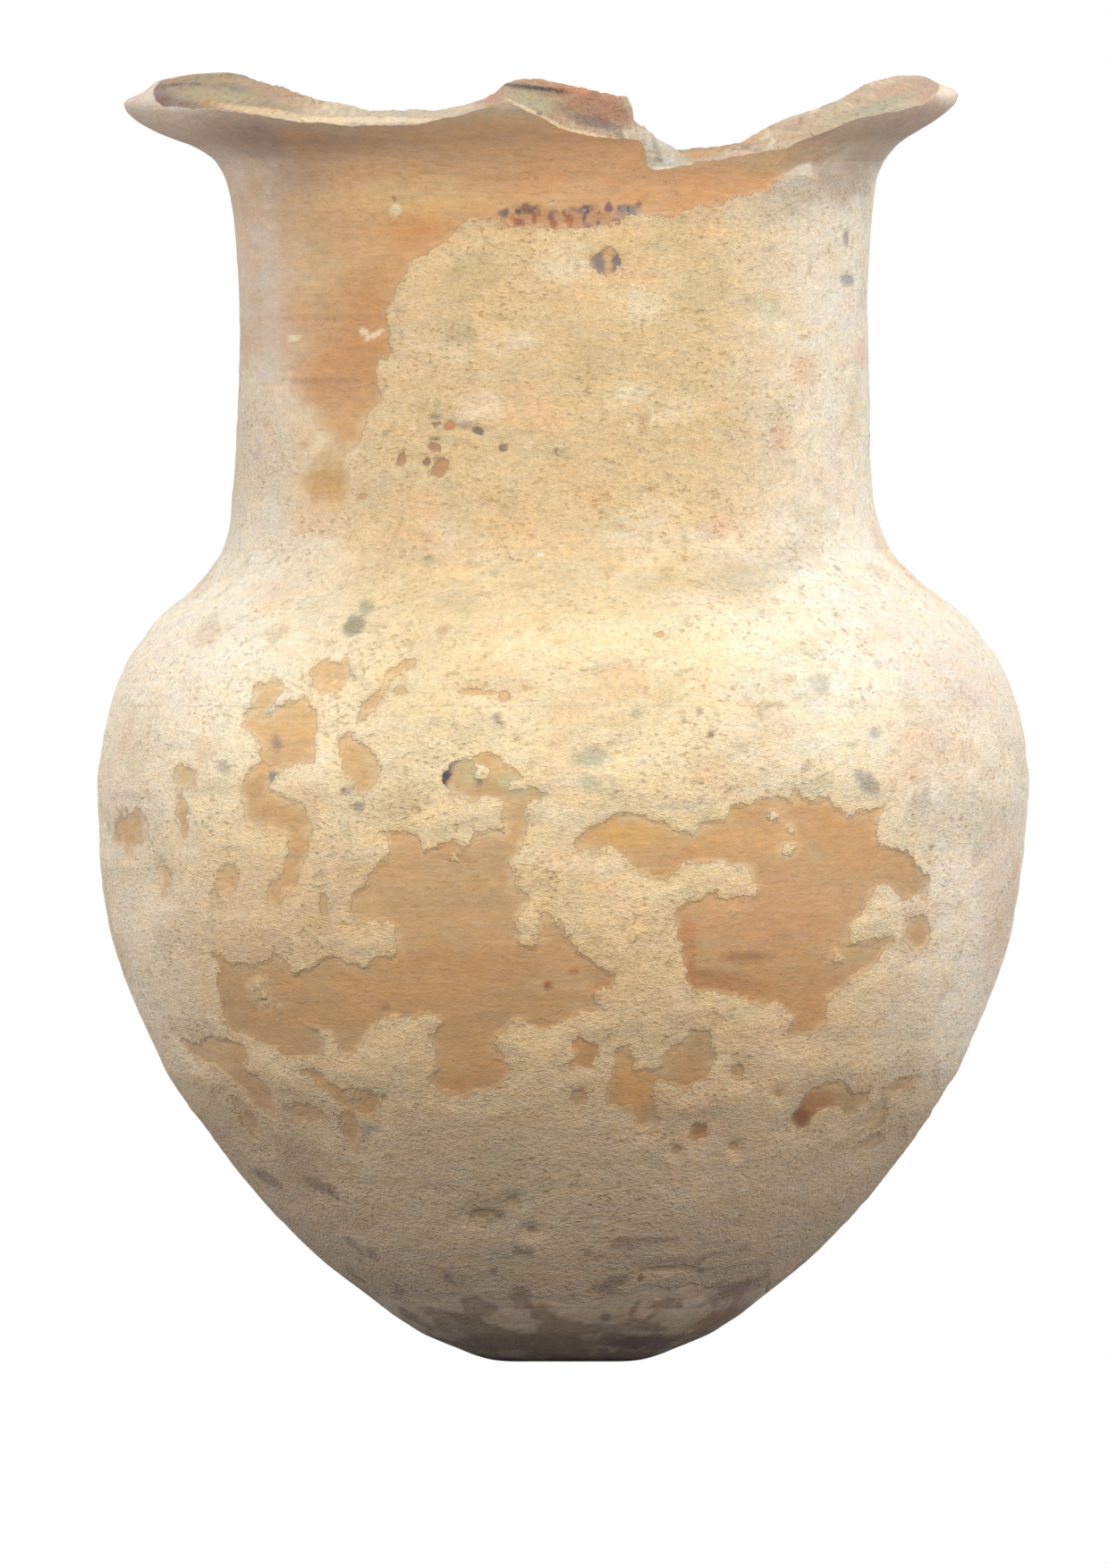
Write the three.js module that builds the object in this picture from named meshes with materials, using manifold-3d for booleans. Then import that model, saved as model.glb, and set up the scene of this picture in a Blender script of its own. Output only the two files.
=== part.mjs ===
// Cylindrical-necked pottery jar: clay sections thrown on the wheel and luted together, a rim
// broken along the front and the back, and the skins of burial crust that still cover it.
// Millimetres, +Z up. The origin lies under the middle of the belly, on the resting face.

import * as THREE from "three";
import { mergeVertices } from "three/addons/utils/BufferGeometryUtils.js";
import Module from "manifold-3d";

const wasm = await Module();
wasm.setup();

// Radii of the clay's outer face, from the ground up
const REST_RADIUS = 17;
const HEEL_RADIUS = 30;
const CAP_RADIUS = 46.2;
const FOOT_RADIUS = 69.8;
const FLANK_RADIUS = 93.8;
const LOW_BELLY_RADIUS = 111.8;
const MID_BELLY_RADIUS = 120.4;
const BELLY_RADIUS = 122;
const HIGH_BELLY_RADIUS = 118.5;
const SHOULDER_RADIUS = 110.4;
const SLOPE_RADIUS = 96.6;
const NECK_ROOT_RADIUS = 87.4;
const NECK_FOOT_RADIUS = 84.5;
const NECK_RADIUS = 83.1;
const NECK_WAIST_RADIUS = 82.6;
const NECK_TOP_RADIUS = 83.2;
const FLARE_START_RADIUS = 84.4;
const FLARE_RADIUS = 89.4;
const LIP_ROOT_RADIUS = 98.9;

// Rise of each of those radii above the one below it
const HEEL_RISE = 4.3;
const CAP_RISE = 8.4;
const FOOT_RISE = 21.3;
const FLANK_RISE = 28.4;
const LOW_BELLY_RISE = 33.1;
const MID_BELLY_RISE = 35.5;
const BELLY_RISE = 20;
const HIGH_BELLY_RISE = 22;
const SHOULDER_RISE = 16.5;
const SLOPE_RISE = 14;
const NECK_ROOT_RISE = 11;
const NECK_FOOT_RISE = 13.5;
const NECK_RISE = 24;
const NECK_WAIST_RISE = 33;
const NECK_TOP_RISE = 14;
const FLARE_START_RISE = 10.5;
const FLARE_RISE = 8.9;
const LIP_ROOT_RISE = 5.1;

// How far the potter's axis has wandered to the side, by section, and how far the rim tips
const REST_SHIFT = 1;
const FLANK_SHIFT = -0.5;
const SHOULDER_SHIFT = 0.4;
const NECK_ROOT_SHIFT = -1.8;
const NECK_SHIFT = -3;
const LIP_ROOT_SHIFT = -5.2;
const LIP_SHIFT = -5.6;
const RIM_TIP_DEGREES = 0.75;

// Clay: wall, floor and the bevelled joints between the sections
const WALL_THICKNESS = 8.5;
const FLOOR_THICKNESS = 9;
const JOINT_BEVEL = 5;
const JOINT_CLEARANCE = 0.3;

// Lip: a thick rounded strip round the edge of the flare
const LIP_UNDER_RADIUS = 108;
const LIP_UNDER_RISE = 6.2;
const LIP_RADIUS = 110.4;
const LIP_TIP_RISE = 3.4;
const LIP_SHOULDER_RADIUS = 105.4;
const LIP_SHOULDER_RISE = 4.7;
const LIP_CREST_RADIUS = 99.5;
const LIP_CREST_RISE = 2.8;
const LIP_BACK_RADIUS = 95.8;
const LIP_BACK_DROP = 3.4;

// Burial crust: its thickness, its clearance from the clay and the cracks between its skins
const CRUST_THICKNESS = 1;
const CRUST_CLEARANCE = 0.3;
const CRUST_CRACK = 0.3;

// One unit of the two traced tables: the break line here and the bare stretches further down
const TRACE_UNIT = 1;

// Where the rim is broken, going round from the left end. The break leaves the outer face at one
// edge and the inner face at another. Each row holds the angle in degrees, then how far in from
// the lip's tip and how far below its crest the outer edge lies, then the same for the inner
// edge. Drops below zero lie above the crest: the rim is whole there.
const BREAK_LINE = [
  [-163, 0, -3, 12, -6],
  [-160, 0, 6.5, 9, -3],
  [-147, 0.4, 8, 10.9, -0.6],
  [-137, 0.4, 9.9, 13.9, 2.3],
  [-127, 4.2, 12.5, 17.9, 5.4],
  [-119, 6, 13.6, 19.9, 8.6],
  [-108, 6, 13.6, 20.8, 9.4],
  [-102, 2.4, 11.5, 19.4, 7.7],
  [-98, 0.4, 9.2, 17.1, 4.7],
  [-95, 0.4, 6.6, 15.4, 2.8],
  [-91, 0.7, 10.3, 13.6, 1.2],
  [-86, 7.1, 14.4, 14.6, 2.4],
  [-79, 12.4, 17.7, 17.2, 4.8],
  [-75, 13.4, 18.1, 18.1, 6.1],
  [-72, 21.6, 23.6, 24.4, 12.6],
  [-70, 22.8, 25.5, 27.6, 17.2],
  [-67, 23.4, 26.2, 31.1, 22.6],
  [-58, 22.1, 24.1, 30.6, 21.6],
  [-49, 19.7, 21.2, 28.2, 17.7],
  [-41.5, 10.7, 16.7, 22.4, 11.3],
  [-37.5, 4.4, 12.7, 19.9, 8.4],
  [-27, 0.9, 10.3, 14.4, 1.8],
  [-17.5, 0.5, 6.8, 10.4, -0.6],
  [-14, 0, -3, 12, -6],
  [0, 0, -3, 12, -6],
  [14, 0, -3, 12, -6],
  [24, 0, -3, 12, -6],
  [28, 2, 8, 14, 2],
  [34, 6, 15, 20, 8],
  [45, 21, 22, 29.5, 18],
  [64, 22, 23.5, 30.5, 20],
  [78, 21, 22, 29.5, 18.5],
  [90, 20, 21.5, 29, 17.5],
  [103, 18, 20, 27, 15.5],
  [115, 16, 19, 25, 13],
  [126, 11, 17, 22, 10.5],
  [138, 8, 15, 20, 8.5],
  [148, 2, 10.5, 15, 3],
  [153, 0, -3, 12, -6],
  [167, 0, -3, 12, -6],
  [182, 0, -3, 12, -6],
];
const BREAK_MARGIN = 20;

// Wheel-thrown pieces are turned in this many flats, each stretch of wall in this many steps
const TURNS = 48;
const STEPS = 2;
const LIP_STEPS = 8;

const CLAY_FINISH = { color: 0xc4965f, roughness: 0.9, metalness: 0 };
const LIP_FINISH = { color: 0xc9a478, roughness: 0.92, metalness: 0 };
const CRUST_FINISH = { color: 0xdfcda4, roughness: 0.97, metalness: 0 };

// The stations of the outer face: radius, rise from the station below, and sideways shift
const STATIONS = [
  ["rest", REST_RADIUS, 0, REST_SHIFT],
  ["heel", HEEL_RADIUS, HEEL_RISE, REST_SHIFT],
  ["cap", CAP_RADIUS, CAP_RISE, REST_SHIFT],
  ["foot", FOOT_RADIUS, FOOT_RISE, REST_SHIFT / 2],
  ["flank", FLANK_RADIUS, FLANK_RISE, 0],
  ["lowBelly", LOW_BELLY_RADIUS, LOW_BELLY_RISE, FLANK_SHIFT],
  ["midBelly", MID_BELLY_RADIUS, MID_BELLY_RISE, FLANK_SHIFT],
  ["belly", BELLY_RADIUS, BELLY_RISE, 0],
  ["highBelly", HIGH_BELLY_RADIUS, HIGH_BELLY_RISE, SHOULDER_SHIFT],
  ["shoulder", SHOULDER_RADIUS, SHOULDER_RISE, SHOULDER_SHIFT],
  ["slope", SLOPE_RADIUS, SLOPE_RISE, 0],
  ["neckRoot", NECK_ROOT_RADIUS, NECK_ROOT_RISE, NECK_ROOT_SHIFT],
  ["neckFoot", NECK_FOOT_RADIUS, NECK_FOOT_RISE, NECK_SHIFT],
  ["neck", NECK_RADIUS, NECK_RISE, NECK_SHIFT],
  ["neckWaist", NECK_WAIST_RADIUS, NECK_WAIST_RISE, NECK_SHIFT],
  ["neckTop", NECK_TOP_RADIUS, NECK_TOP_RISE, NECK_SHIFT],
  ["flareStart", FLARE_START_RADIUS, FLARE_START_RISE, NECK_SHIFT],
  ["flare", FLARE_RADIUS, FLARE_RISE, LIP_ROOT_SHIFT],
  ["lipRoot", LIP_ROOT_RADIUS, LIP_ROOT_RISE, LIP_ROOT_SHIFT],
];

// Each station's place in the list and its height above the ground
const place = {};
const level = {};
let ground = 0;
STATIONS.forEach(([name, , rise], index) => {
  ground += rise;
  place[name] = index;
  level[name] = ground;
});
const tipLevel = level.lipRoot + LIP_UNDER_RISE + LIP_TIP_RISE;
const crestLevel = tipLevel + LIP_SHOULDER_RISE + LIP_CREST_RISE;

const faceCurve = new THREE.CatmullRomCurve3(
  STATIONS.map(([name, radius]) => new THREE.Vector3(radius, level[name], 0)),
  false,
  "centripetal",
);

// A point of the clay wall at a station, which may lie between two of the list, so far outside
// the outer face and so far along the wall
function wallPoint(station, outwards = 0, along = 0) {
  const share = station / (STATIONS.length - 1);
  const point = faceCurve.getPoint(share);
  const heading = faceCurve.getTangent(share);
  return new THREE.Vector2(
    point.x + heading.y * outwards + heading.x * along,
    point.y - heading.x * outwards + heading.y * along,
  );
}

// Stations from one to the other, both counted, in steps finer than the list's own
function stationsBetween(first, last) {
  const count = (last - first) * STEPS;
  return Array.from({ length: count + 1 }, (_, index) => first + index / STEPS);
}

const axisPath = [
  ...STATIONS.map(([name, , , shift]) => ({ height: level[name], shift })),
  { height: crestLevel, shift: LIP_SHIFT },
];

// Sideways place of the leaning axis at a height
function axisShift(height) {
  const above = axisPath.findIndex((knot) => knot.height >= height);
  if (above === 0) return REST_SHIFT;
  if (above < 0) return LIP_SHIFT;
  const low = axisPath[above - 1];
  const high = axisPath[above];
  return THREE.MathUtils.mapLinear(height, low.height, high.height, low.shift, high.shift);
}

// Moves a turned shape from the wheel's true axis to where the jar really leans
function lean(geometry) {
  const position = geometry.getAttribute("position");
  const slant = Math.tan(THREE.MathUtils.degToRad(RIM_TIP_DEGREES));
  for (let index = 0; index < position.count; index += 1) {
    const height = position.getZ(index);
    const across = position.getX(index);
    const tipping = THREE.MathUtils.smoothstep(height, level.neckTop, crestLevel);
    position.setX(index, across + axisShift(height));
    position.setZ(index, height + across * slant * tipping);
  }
  return geometry;
}

// A closed mesh with shared corners and no flat leftovers
function weld(geometry) {
  geometry.deleteAttribute("normal");
  geometry.deleteAttribute("uv");
  const welded = mergeVertices(geometry, 1e-4);
  const corners = welded.getIndex().array;
  const kept = [];
  for (let index = 0; index < corners.length; index += 3) {
    const [a, b, c] = corners.slice(index, index + 3);
    if (a !== b && b !== c && c !== a) kept.push(a, b, c);
  }
  welded.setIndex(kept);
  return welded;
}

// A profile of radius and height points, turned about the upright axis
function turn(profile) {
  const geometry = new THREE.LatheGeometry(profile, TURNS);
  geometry.rotateX(Math.PI / 2);
  return lean(weld(geometry));
}

function toSolid(geometry) {
  const vertProperties = new Float32Array(geometry.getAttribute("position").array);
  const triVerts = new Uint32Array(geometry.getIndex().array);
  return new wasm.Manifold(new wasm.Mesh({ numProp: 3, vertProperties, triVerts }));
}

function toGeometry(solid) {
  const { vertProperties, triVerts } = solid.getMesh();
  const geometry = new THREE.BufferGeometry();
  geometry.setAttribute("position", new THREE.BufferAttribute(new Float32Array(vertProperties), 3));
  geometry.setIndex(Array.from(triVerts));
  return geometry;
}

// The separate bodies of a solid, the heaviest first
function bodiesOf(solid) {
  return solid.decompose().sort((a, b) => b.volume() - a.volume());
}

const jar = new THREE.Group();

function add(name, geometry, finish) {
  geometry.computeVertexNormals();
  const mesh = new THREE.Mesh(geometry, new THREE.MeshStandardMaterial(finish));
  mesh.name = name;
  jar.add(mesh);
}

// Clay sections

const HALF_JOINT = JOINT_CLEARANCE / 2;

// One thrown section between two stations. Its bevelled joint faces run up the wall from the
// outer face to the inner one, so each section seats on the one below.
function wallSection(first, last, bevelBelow, bevelAbove) {
  const between = stationsBetween(first, last).slice(1, -1);
  const outer = [
    wallPoint(first, 0, HALF_JOINT),
    ...between.map((station) => wallPoint(station)),
    wallPoint(last, 0, -HALF_JOINT),
  ];
  const inner = [
    wallPoint(last, -WALL_THICKNESS, bevelAbove - HALF_JOINT),
    ...between.reverse().map((station) => wallPoint(station, -WALL_THICKNESS)),
    wallPoint(first, -WALL_THICKNESS, bevelBelow + HALF_JOINT),
  ];
  return turn([...outer, ...inner, outer[0]]);
}

// The bottom, closed at the axis, flat below where the jar rests
function bottomSection(last, bevelAbove) {
  const stations = stationsBetween(0, last).slice(0, -1);
  const outer = [
    new THREE.Vector2(0, 0),
    ...stations.map((station) => wallPoint(station)),
    wallPoint(last, 0, -HALF_JOINT),
  ];
  const inner = [
    wallPoint(last, -WALL_THICKNESS, bevelAbove - HALF_JOINT),
    ...stations.slice(1).reverse().map((station) => wallPoint(station, -WALL_THICKNESS)),
    new THREE.Vector2(0, FLOOR_THICKNESS),
  ];
  return turn([...outer, ...inner]);
}

// Broken rim

// Everything above the break line: a ring whose lower face is the break itself
function brokenAwaySpace() {
  const inside = NECK_WAIST_RADIUS / 2;
  const outside = LIP_RADIUS + BREAK_MARGIN;
  const top = crestLevel + BREAK_MARGIN;
  const rings = BREAK_LINE.map(([degrees, outerInset, outerDrop, innerInset, innerDrop]) => {
    const angle = THREE.MathUtils.degToRad(degrees);
    const innerLevel = crestLevel - innerDrop * TRACE_UNIT;
    const outerLevel = crestLevel - outerDrop * TRACE_UNIT;
    const outline = [
      [inside, innerLevel],
      [LIP_RADIUS - innerInset * TRACE_UNIT, innerLevel],
      [LIP_RADIUS - outerInset * TRACE_UNIT, outerLevel],
      [outside, outerLevel],
      [outside, top],
      [inside, top],
    ];
    return outline.map(([radius, height]) => (
      [radius * Math.cos(angle), radius * Math.sin(angle), height]
    ));
  });
  const sides = rings[0].length;
  const faces = [];
  rings.forEach((_, here) => {
    const next = (here + 1) % rings.length;
    for (let corner = 0; corner < sides; corner += 1) {
      const after = (corner + 1) % sides;
      faces.push(here * sides + corner, next * sides + after, here * sides + after);
      faces.push(here * sides + corner, next * sides + corner, next * sides + after);
    }
  });
  const geometry = new THREE.BufferGeometry();
  geometry.setAttribute("position", new THREE.BufferAttribute(new Float32Array(rings.flat(2)), 3));
  geometry.setIndex(faces);
  return toSolid(lean(geometry));
}

// The lip's ring before it broke, on the edge of the flare
function lipRing() {
  const bead = new THREE.CatmullRomCurve3([
    new THREE.Vector3(LIP_UNDER_RADIUS, level.lipRoot + LIP_UNDER_RISE, 0),
    new THREE.Vector3(LIP_RADIUS, tipLevel, 0),
    new THREE.Vector3(LIP_SHOULDER_RADIUS, tipLevel + LIP_SHOULDER_RISE, 0),
    new THREE.Vector3(LIP_CREST_RADIUS, crestLevel, 0),
    new THREE.Vector3(LIP_BACK_RADIUS, crestLevel - LIP_BACK_DROP, 0),
  ], false, "centripetal");
  const root = wallPoint(place.lipRoot, 0, HALF_JOINT);
  const round = bead.getPoints(LIP_STEPS).map((point) => new THREE.Vector2(point.x, point.y));
  return turn([root, ...round, wallPoint(place.lipRoot, -WALL_THICKNESS, HALF_JOINT), root]);
}

// Burial crust

// An outline on the jar as seen from one side, pushed through from the axis outwards. Azimuth 0
// looks from the front, 90 from the right; heights are counted from the given level.
function bareStretch({ azimuth, from, outline }) {
  const corners = outline.map(([across, up]) => (
    new THREE.Vector2(across * TRACE_UNIT, from + up * TRACE_UNIT)
  ));
  const shape = new THREE.Shape(corners);
  const depth = BELLY_RADIUS + BREAK_MARGIN;
  const geometry = new THREE.ExtrudeGeometry(shape, { depth, bevelEnabled: false });
  geometry.rotateX(Math.PI / 2);
  geometry.rotateZ(THREE.MathUtils.degToRad(azimuth));
  return toSolid(weld(geometry));
}

// Stretches of bare clay where the crust has flaked off
const BARE_STRETCHES = [
  // The neck above the crust's edge, at the front and the back
  { azimuth: 0, from: level.neckTop, outline: [
    [-112, 46], [-112, -53], [-80, -53], [-70, -59], [-68, -71], [-58, -71], [-58, -62], [-54, -55],
    [-47, -34], [-46, -22], [-38, -6], [-26, 2], [-3, 1], [15, 2], [38, 6], [54, 10], [60, 16],
    [73, 20], [80, 27], [95, 46]] },
  { azimuth: 180, from: level.neckTop, outline: [
    [-112, 46], [-112, 26], [-84, 20], [-76, 6], [-60, -4], [-40, 1], [-15, -7], [10, -2], [30, -9],
    [52, -12], [66, -26], [74, -48], [84, -53], [112, -53], [112, 46]] },
  // The round window over the painted strokes
  { azimuth: 0, from: level.neckTop, outline: [
    [7, -8], [8, -11], [11, -12], [14, -11], [15, -8], [14, -5], [11, -4], [8, -5]] },
  // The left of the shoulder
  { azimuth: 0, from: level.belly, outline: [
    [-84, 19], [-81, 22], [-67, 25], [-65, 18], [-66, 7], [-75, 5], [-81, 10]] },
  { azimuth: 0, from: level.belly, outline: [
    [-59, 14], [-55, 15], [-48, 6], [-49, -1], [-52, -3], [-58, 5]] },
  { azimuth: 0, from: level.belly, outline: [
    [-84, 3], [-84, -10], [-74, -12], [-78, -26], [-73, -28], [-66, -15], [-68, -6], [-78, -1]] },
  // The large stretch left of the middle, down to the flank
  { azimuth: 0, from: level.lowBelly, outline: [
    [-46, 46], [-36, 41], [-24, 45], [-16, 46], [-15, 54], [-8, 52], [-14, 35], [-9, 27], [-12, 17],
    [-5, 22], [8, 11], [14, 7], [10, 0], [-2, -6], [-16, -9], [-16, -16], [-21, -24], [-33, -23],
    [-35, -17], [-34, -7], [-45, -4], [-55, -14], [-62, -16], [-74, -15], [-89, -8], [-91, 13],
    [-85, 11], [-71, 8], [-60, 12], [-44, 14], [-50, 21], [-55, 25], [-48, 37]] },
  // The large stretch right of the middle
  { azimuth: 0, from: level.lowBelly, outline: [
    [2, 41], [9, 48], [22, 49], [34, 44], [44, 51], [54, 54], [70, 53], [85, 52], [83, 43], [93, 36],
    [96, 28], [80, 27], [76, 19], [83, 13], [70, 1], [66, -9], [60, -8], [57, 0], [45, 2], [32, 6],
    [30, 23], [39, 29], [49, 28], [52, 32], [46, 36], [27, 33], [17, 37]] },
  // Smaller ones on the flank
  { azimuth: 0, from: level.flank, outline: [
    [14, 21], [20, 15], [26, 16], [28, 21], [40, 27], [40, 19], [37, 13], [24, 9], [25, 1], [20, 1],
    [13, 6]] },
  { azimuth: 0, from: level.flank, outline: [
    [60, 1], [64, 8], [73, 12], [81, 9], [75, 2], [67, 2]] },
  { azimuth: 0, from: level.flank, outline: [
    [-100, 23], [-84, 22], [-76, 8], [-76, 4], [-84, 10], [-98, 19]] },
  { azimuth: 0, from: level.flank, outline: [
    [-69, 15], [-58, 10], [-49, 10], [-50, 3], [-54, -5], [-60, 6]] },
  { azimuth: 0, from: level.cap, outline: [
    [19, 13], [33, 11], [33, 8], [20, 9]] },
  // The back and the sides, out of the picture, in the same manner
  { azimuth: 180, from: level.lowBelly, outline: [
    [-60, 55], [-35, 62], [-10, 53], [5, 57], [22, 45], [18, 27], [-2, 23], [-12, 9], [-40, 5],
    [-55, 17], [-48, 33], [-66, 43]] },
  { azimuth: 180, from: level.lowBelly, outline: [
    [35, 15], [60, 21], [72, 5], [58, -11], [40, -7]] },
  { azimuth: 180, from: level.flank, outline: [
    [-30, 18], [-10, 22], [2, 8], [-12, -2], [-28, 4]] },
  { azimuth: 180, from: level.shoulder, outline: [
    [-20, 7], [5, 11], [18, -1], [4, -9], [-14, -5]] },
  { azimuth: 90, from: level.flank, outline: [
    [-30, -2], [-5, 4], [12, -10], [-4, -20], [-24, -16]] },
  { azimuth: 90, from: level.highBelly, outline: [
    [10, 7], [28, 13], [34, -1], [20, -9]] },
  { azimuth: 270, from: level.lowBelly, outline: [
    [-25, 15], [-5, 23], [10, 13], [4, -3], [-18, -1]] },
].map(bareStretch);

// The skin of crust over the wall between two stations, without its bare stretches. Crumbs that
// these cut loose have fallen off, so the largest body is what is left.
function crustSkin(first, last) {
  const stations = stationsBetween(first, last);
  const crack = (station) => {
    if (station === first) return CRUST_CRACK / 2;
    return station === last ? -CRUST_CRACK / 2 : 0;
  };
  const face = (outwards) => stations.map((station) => wallPoint(station, outwards, crack(station)));
  const outer = face(CRUST_CLEARANCE + CRUST_THICKNESS);
  const inner = face(CRUST_CLEARANCE).reverse();
  const whole = toSolid(turn([...outer, ...inner, outer[0]]));
  const flaked = BARE_STRETCHES.reduce((skin, stretch) => skin.subtract(stretch), whole);
  return toGeometry(bodiesOf(flaked)[0]);
}

// Assembly

add("base_cap", bottomSection(place.foot, JOINT_BEVEL), CLAY_FINISH);
add("lower_wall", wallSection(place.foot, place.lowBelly, JOINT_BEVEL, JOINT_BEVEL), CLAY_FINISH);
add("low_belly_wall", wallSection(place.lowBelly, place.midBelly, JOINT_BEVEL, JOINT_BEVEL), CLAY_FINISH);
add("belly_wall", wallSection(place.midBelly, place.highBelly, JOINT_BEVEL, JOINT_BEVEL), CLAY_FINISH);
add("shoulder_wall", wallSection(place.highBelly, place.neckRoot, JOINT_BEVEL, JOINT_BEVEL), CLAY_FINISH);
add("neck_wall", wallSection(place.neckRoot, place.neckTop, JOINT_BEVEL, JOINT_BEVEL), CLAY_FINISH);

const brokenAway = brokenAwaySpace();
const wholeFlare = toSolid(wallSection(place.neckTop, place.lipRoot, JOINT_BEVEL, 0));
add("rim_flare", toGeometry(bodiesOf(wholeFlare.subtract(brokenAway))[0]), CLAY_FINISH);

const middleOf = (solid) => solid.boundingBox().min[0] + solid.boundingBox().max[0];
const lipEnds = bodiesOf(toSolid(lipRing()).subtract(brokenAway)).slice(0, 2);
const [lipLeft, lipRight] = lipEnds.sort((a, b) => middleOf(a) - middleOf(b));
add("lip_left", toGeometry(lipLeft), LIP_FINISH);
add("lip_right", toGeometry(lipRight), LIP_FINISH);

add("crust_foot", crustSkin(place.cap, place.flank), CRUST_FINISH);
add("crust_flank", crustSkin(place.flank, place.lowBelly), CRUST_FINISH);
add("crust_belly", crustSkin(place.lowBelly, place.highBelly), CRUST_FINISH);
add("crust_shoulder", crustSkin(place.highBelly, place.neckRoot), CRUST_FINISH);
add("crust_neck", crustSkin(place.neckRoot, place.flare), CRUST_FINISH);

export default jar;
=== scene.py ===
"""Wheel-made pottery jar with a broken rim and a flaked burial crust.

The clay is thrown in rings on an axis that wanders a little, the rim is broken along a traced line,
and a sandy crust lies on the wall wherever it has not flaked off. Shapes are worked out in
millimetres and made in metres, +Z up, with the viewer of the photograph on the -Y side.
"""

import logging
import math
from collections.abc import Sequence
from dataclasses import dataclass
from enum import Enum

import bpy
import numpy as np
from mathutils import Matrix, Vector
from numpy.typing import NDArray


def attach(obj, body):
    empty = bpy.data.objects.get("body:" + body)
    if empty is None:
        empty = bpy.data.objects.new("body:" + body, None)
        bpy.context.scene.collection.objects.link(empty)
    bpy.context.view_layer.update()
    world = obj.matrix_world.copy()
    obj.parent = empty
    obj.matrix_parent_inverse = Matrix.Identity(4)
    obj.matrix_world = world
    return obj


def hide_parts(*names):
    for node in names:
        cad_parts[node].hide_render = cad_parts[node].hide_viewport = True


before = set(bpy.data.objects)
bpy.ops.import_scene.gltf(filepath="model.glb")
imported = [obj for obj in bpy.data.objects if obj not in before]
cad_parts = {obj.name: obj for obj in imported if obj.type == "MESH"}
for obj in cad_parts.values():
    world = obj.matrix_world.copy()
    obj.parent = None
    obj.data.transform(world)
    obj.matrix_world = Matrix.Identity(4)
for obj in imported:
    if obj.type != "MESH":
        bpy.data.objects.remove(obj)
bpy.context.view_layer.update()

LOG = logging.getLogger("jar")
Numbers = NDArray[np.float64]
Colour = tuple[int, int, int]
Pair = tuple[float, float]
Triple = tuple[float, float, float]
Outline = tuple[float, ...]
Mark = tuple[float | Colour, ...]
Piece = bpy.types.Object
Material = bpy.types.Material
Tree = bpy.types.NodeTree
Node = bpy.types.Node
Socket = bpy.types.NodeSocket

# Heights of the joints between the thrown sections, and of other marks on the wall
CAP = 12.7
FOOT = 34.0
FLANK = 62.4
LOW_BELLY = 95.5
MID_BELLY = 131.0
HIGH_BELLY = 173.0
NECK_ROOT = 214.5
NECK_TOP = 299.0
FLARE = 318.4
LIP_ROOT = 323.5
CREST = 340.6

# Outer face of the clay from the middle of the bottom to the root of the lip: radius, height
OUTER_PROFILE: tuple[Pair, ...] = (
    (0, 0), (8, 0), (15, 0), (20, 0.5), (24, 1.6), (29, 3.6), (34, 5.6), (38.4, 7.6), (42, 9.9),
    (46.2, 12.7), (49.8, 15.8), (54.4, 19.7), (60, 24.5), (65, 29.2), (69.8, 34), (74.2, 38.6),
    (78.5, 43.4), (82.3, 48), (86.1, 52.7), (89.9, 57.4), (93.8, 62.4), (97.2, 66.9), (100.4, 71.6),
    (103.5, 76.8), (107.6, 85.8), (111.8, 95.5), (115.2, 104.7), (117.9, 114.2), (119.6, 123.6),
    (120.8, 133), (121.6, 142.6), (122, 151), (121.3, 161.5), (119.3, 170.9), (116.4, 180), (113.6, 185.4),
    (110.4, 189.5), (106.9, 194.6), (101.9, 199.3), (96.6, 203.5), (91.7, 208.9), (88, 213.7),
    (86.1, 218.2), (85, 223), (84.4, 228), (83.5, 240), (83.1, 252), (82.7, 265), (82.6, 285), (83.2, 299),
    (83.8, 304.3), (84.6, 309.5), (86.1, 313.8), (88.9, 318), (91.1, 320), (93.6, 321.8), (97, 323.5),
)

# Where the axis of the wheel wandered to: height, sideways place
AXIS_PATH: tuple[Pair, ...] = (
    (0, 1), (12.7, 1), (34, 0.5), (62.4, 0), (95.5, -0.5), (131, -0.5), (151, 0), (173, 0.4), (189.5, 0.4),
    (203.5, 0), (214.5, -1.8), (228, -3), (309.5, -3), (318, -3.2), (320, -3.6), (321.8, -4.3),
    (323.5, -5.3), (325.5, -5.8), (328.3, -5.9), (332.2, -5.5), (CREST, -5.4),
)

# How far the rim tips down to the left on its way up: height, degrees
RIM_TIP: tuple[Pair, ...] = ((317, 0), (326, 0.32), (334, 0.55), (CREST, -0.3))

WALL_THICKNESS = 8.5
JOINT_BEVEL = 5.0
JOINT_GAP = 0.02

# The lip's bead from its root on the outer face over the tip and the crest: radius, height
LIP_PROFILE: tuple[Pair, ...] = (
    (97, 323.5), (99.9, 324.9), (102.9, 326.5), (105.8, 328.3), (108.2, 330.2), (109.9, 332.2),
    (110.3, 334), (109.2, 335.7), (107, 336.9), (105.2, 337.9), (102.8, 339.6), (99.8, 340.6),
    (97.4, 339.9), (96, 337.4), (95.2, 334),
)
LIP_RADIUS = 110.4

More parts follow.
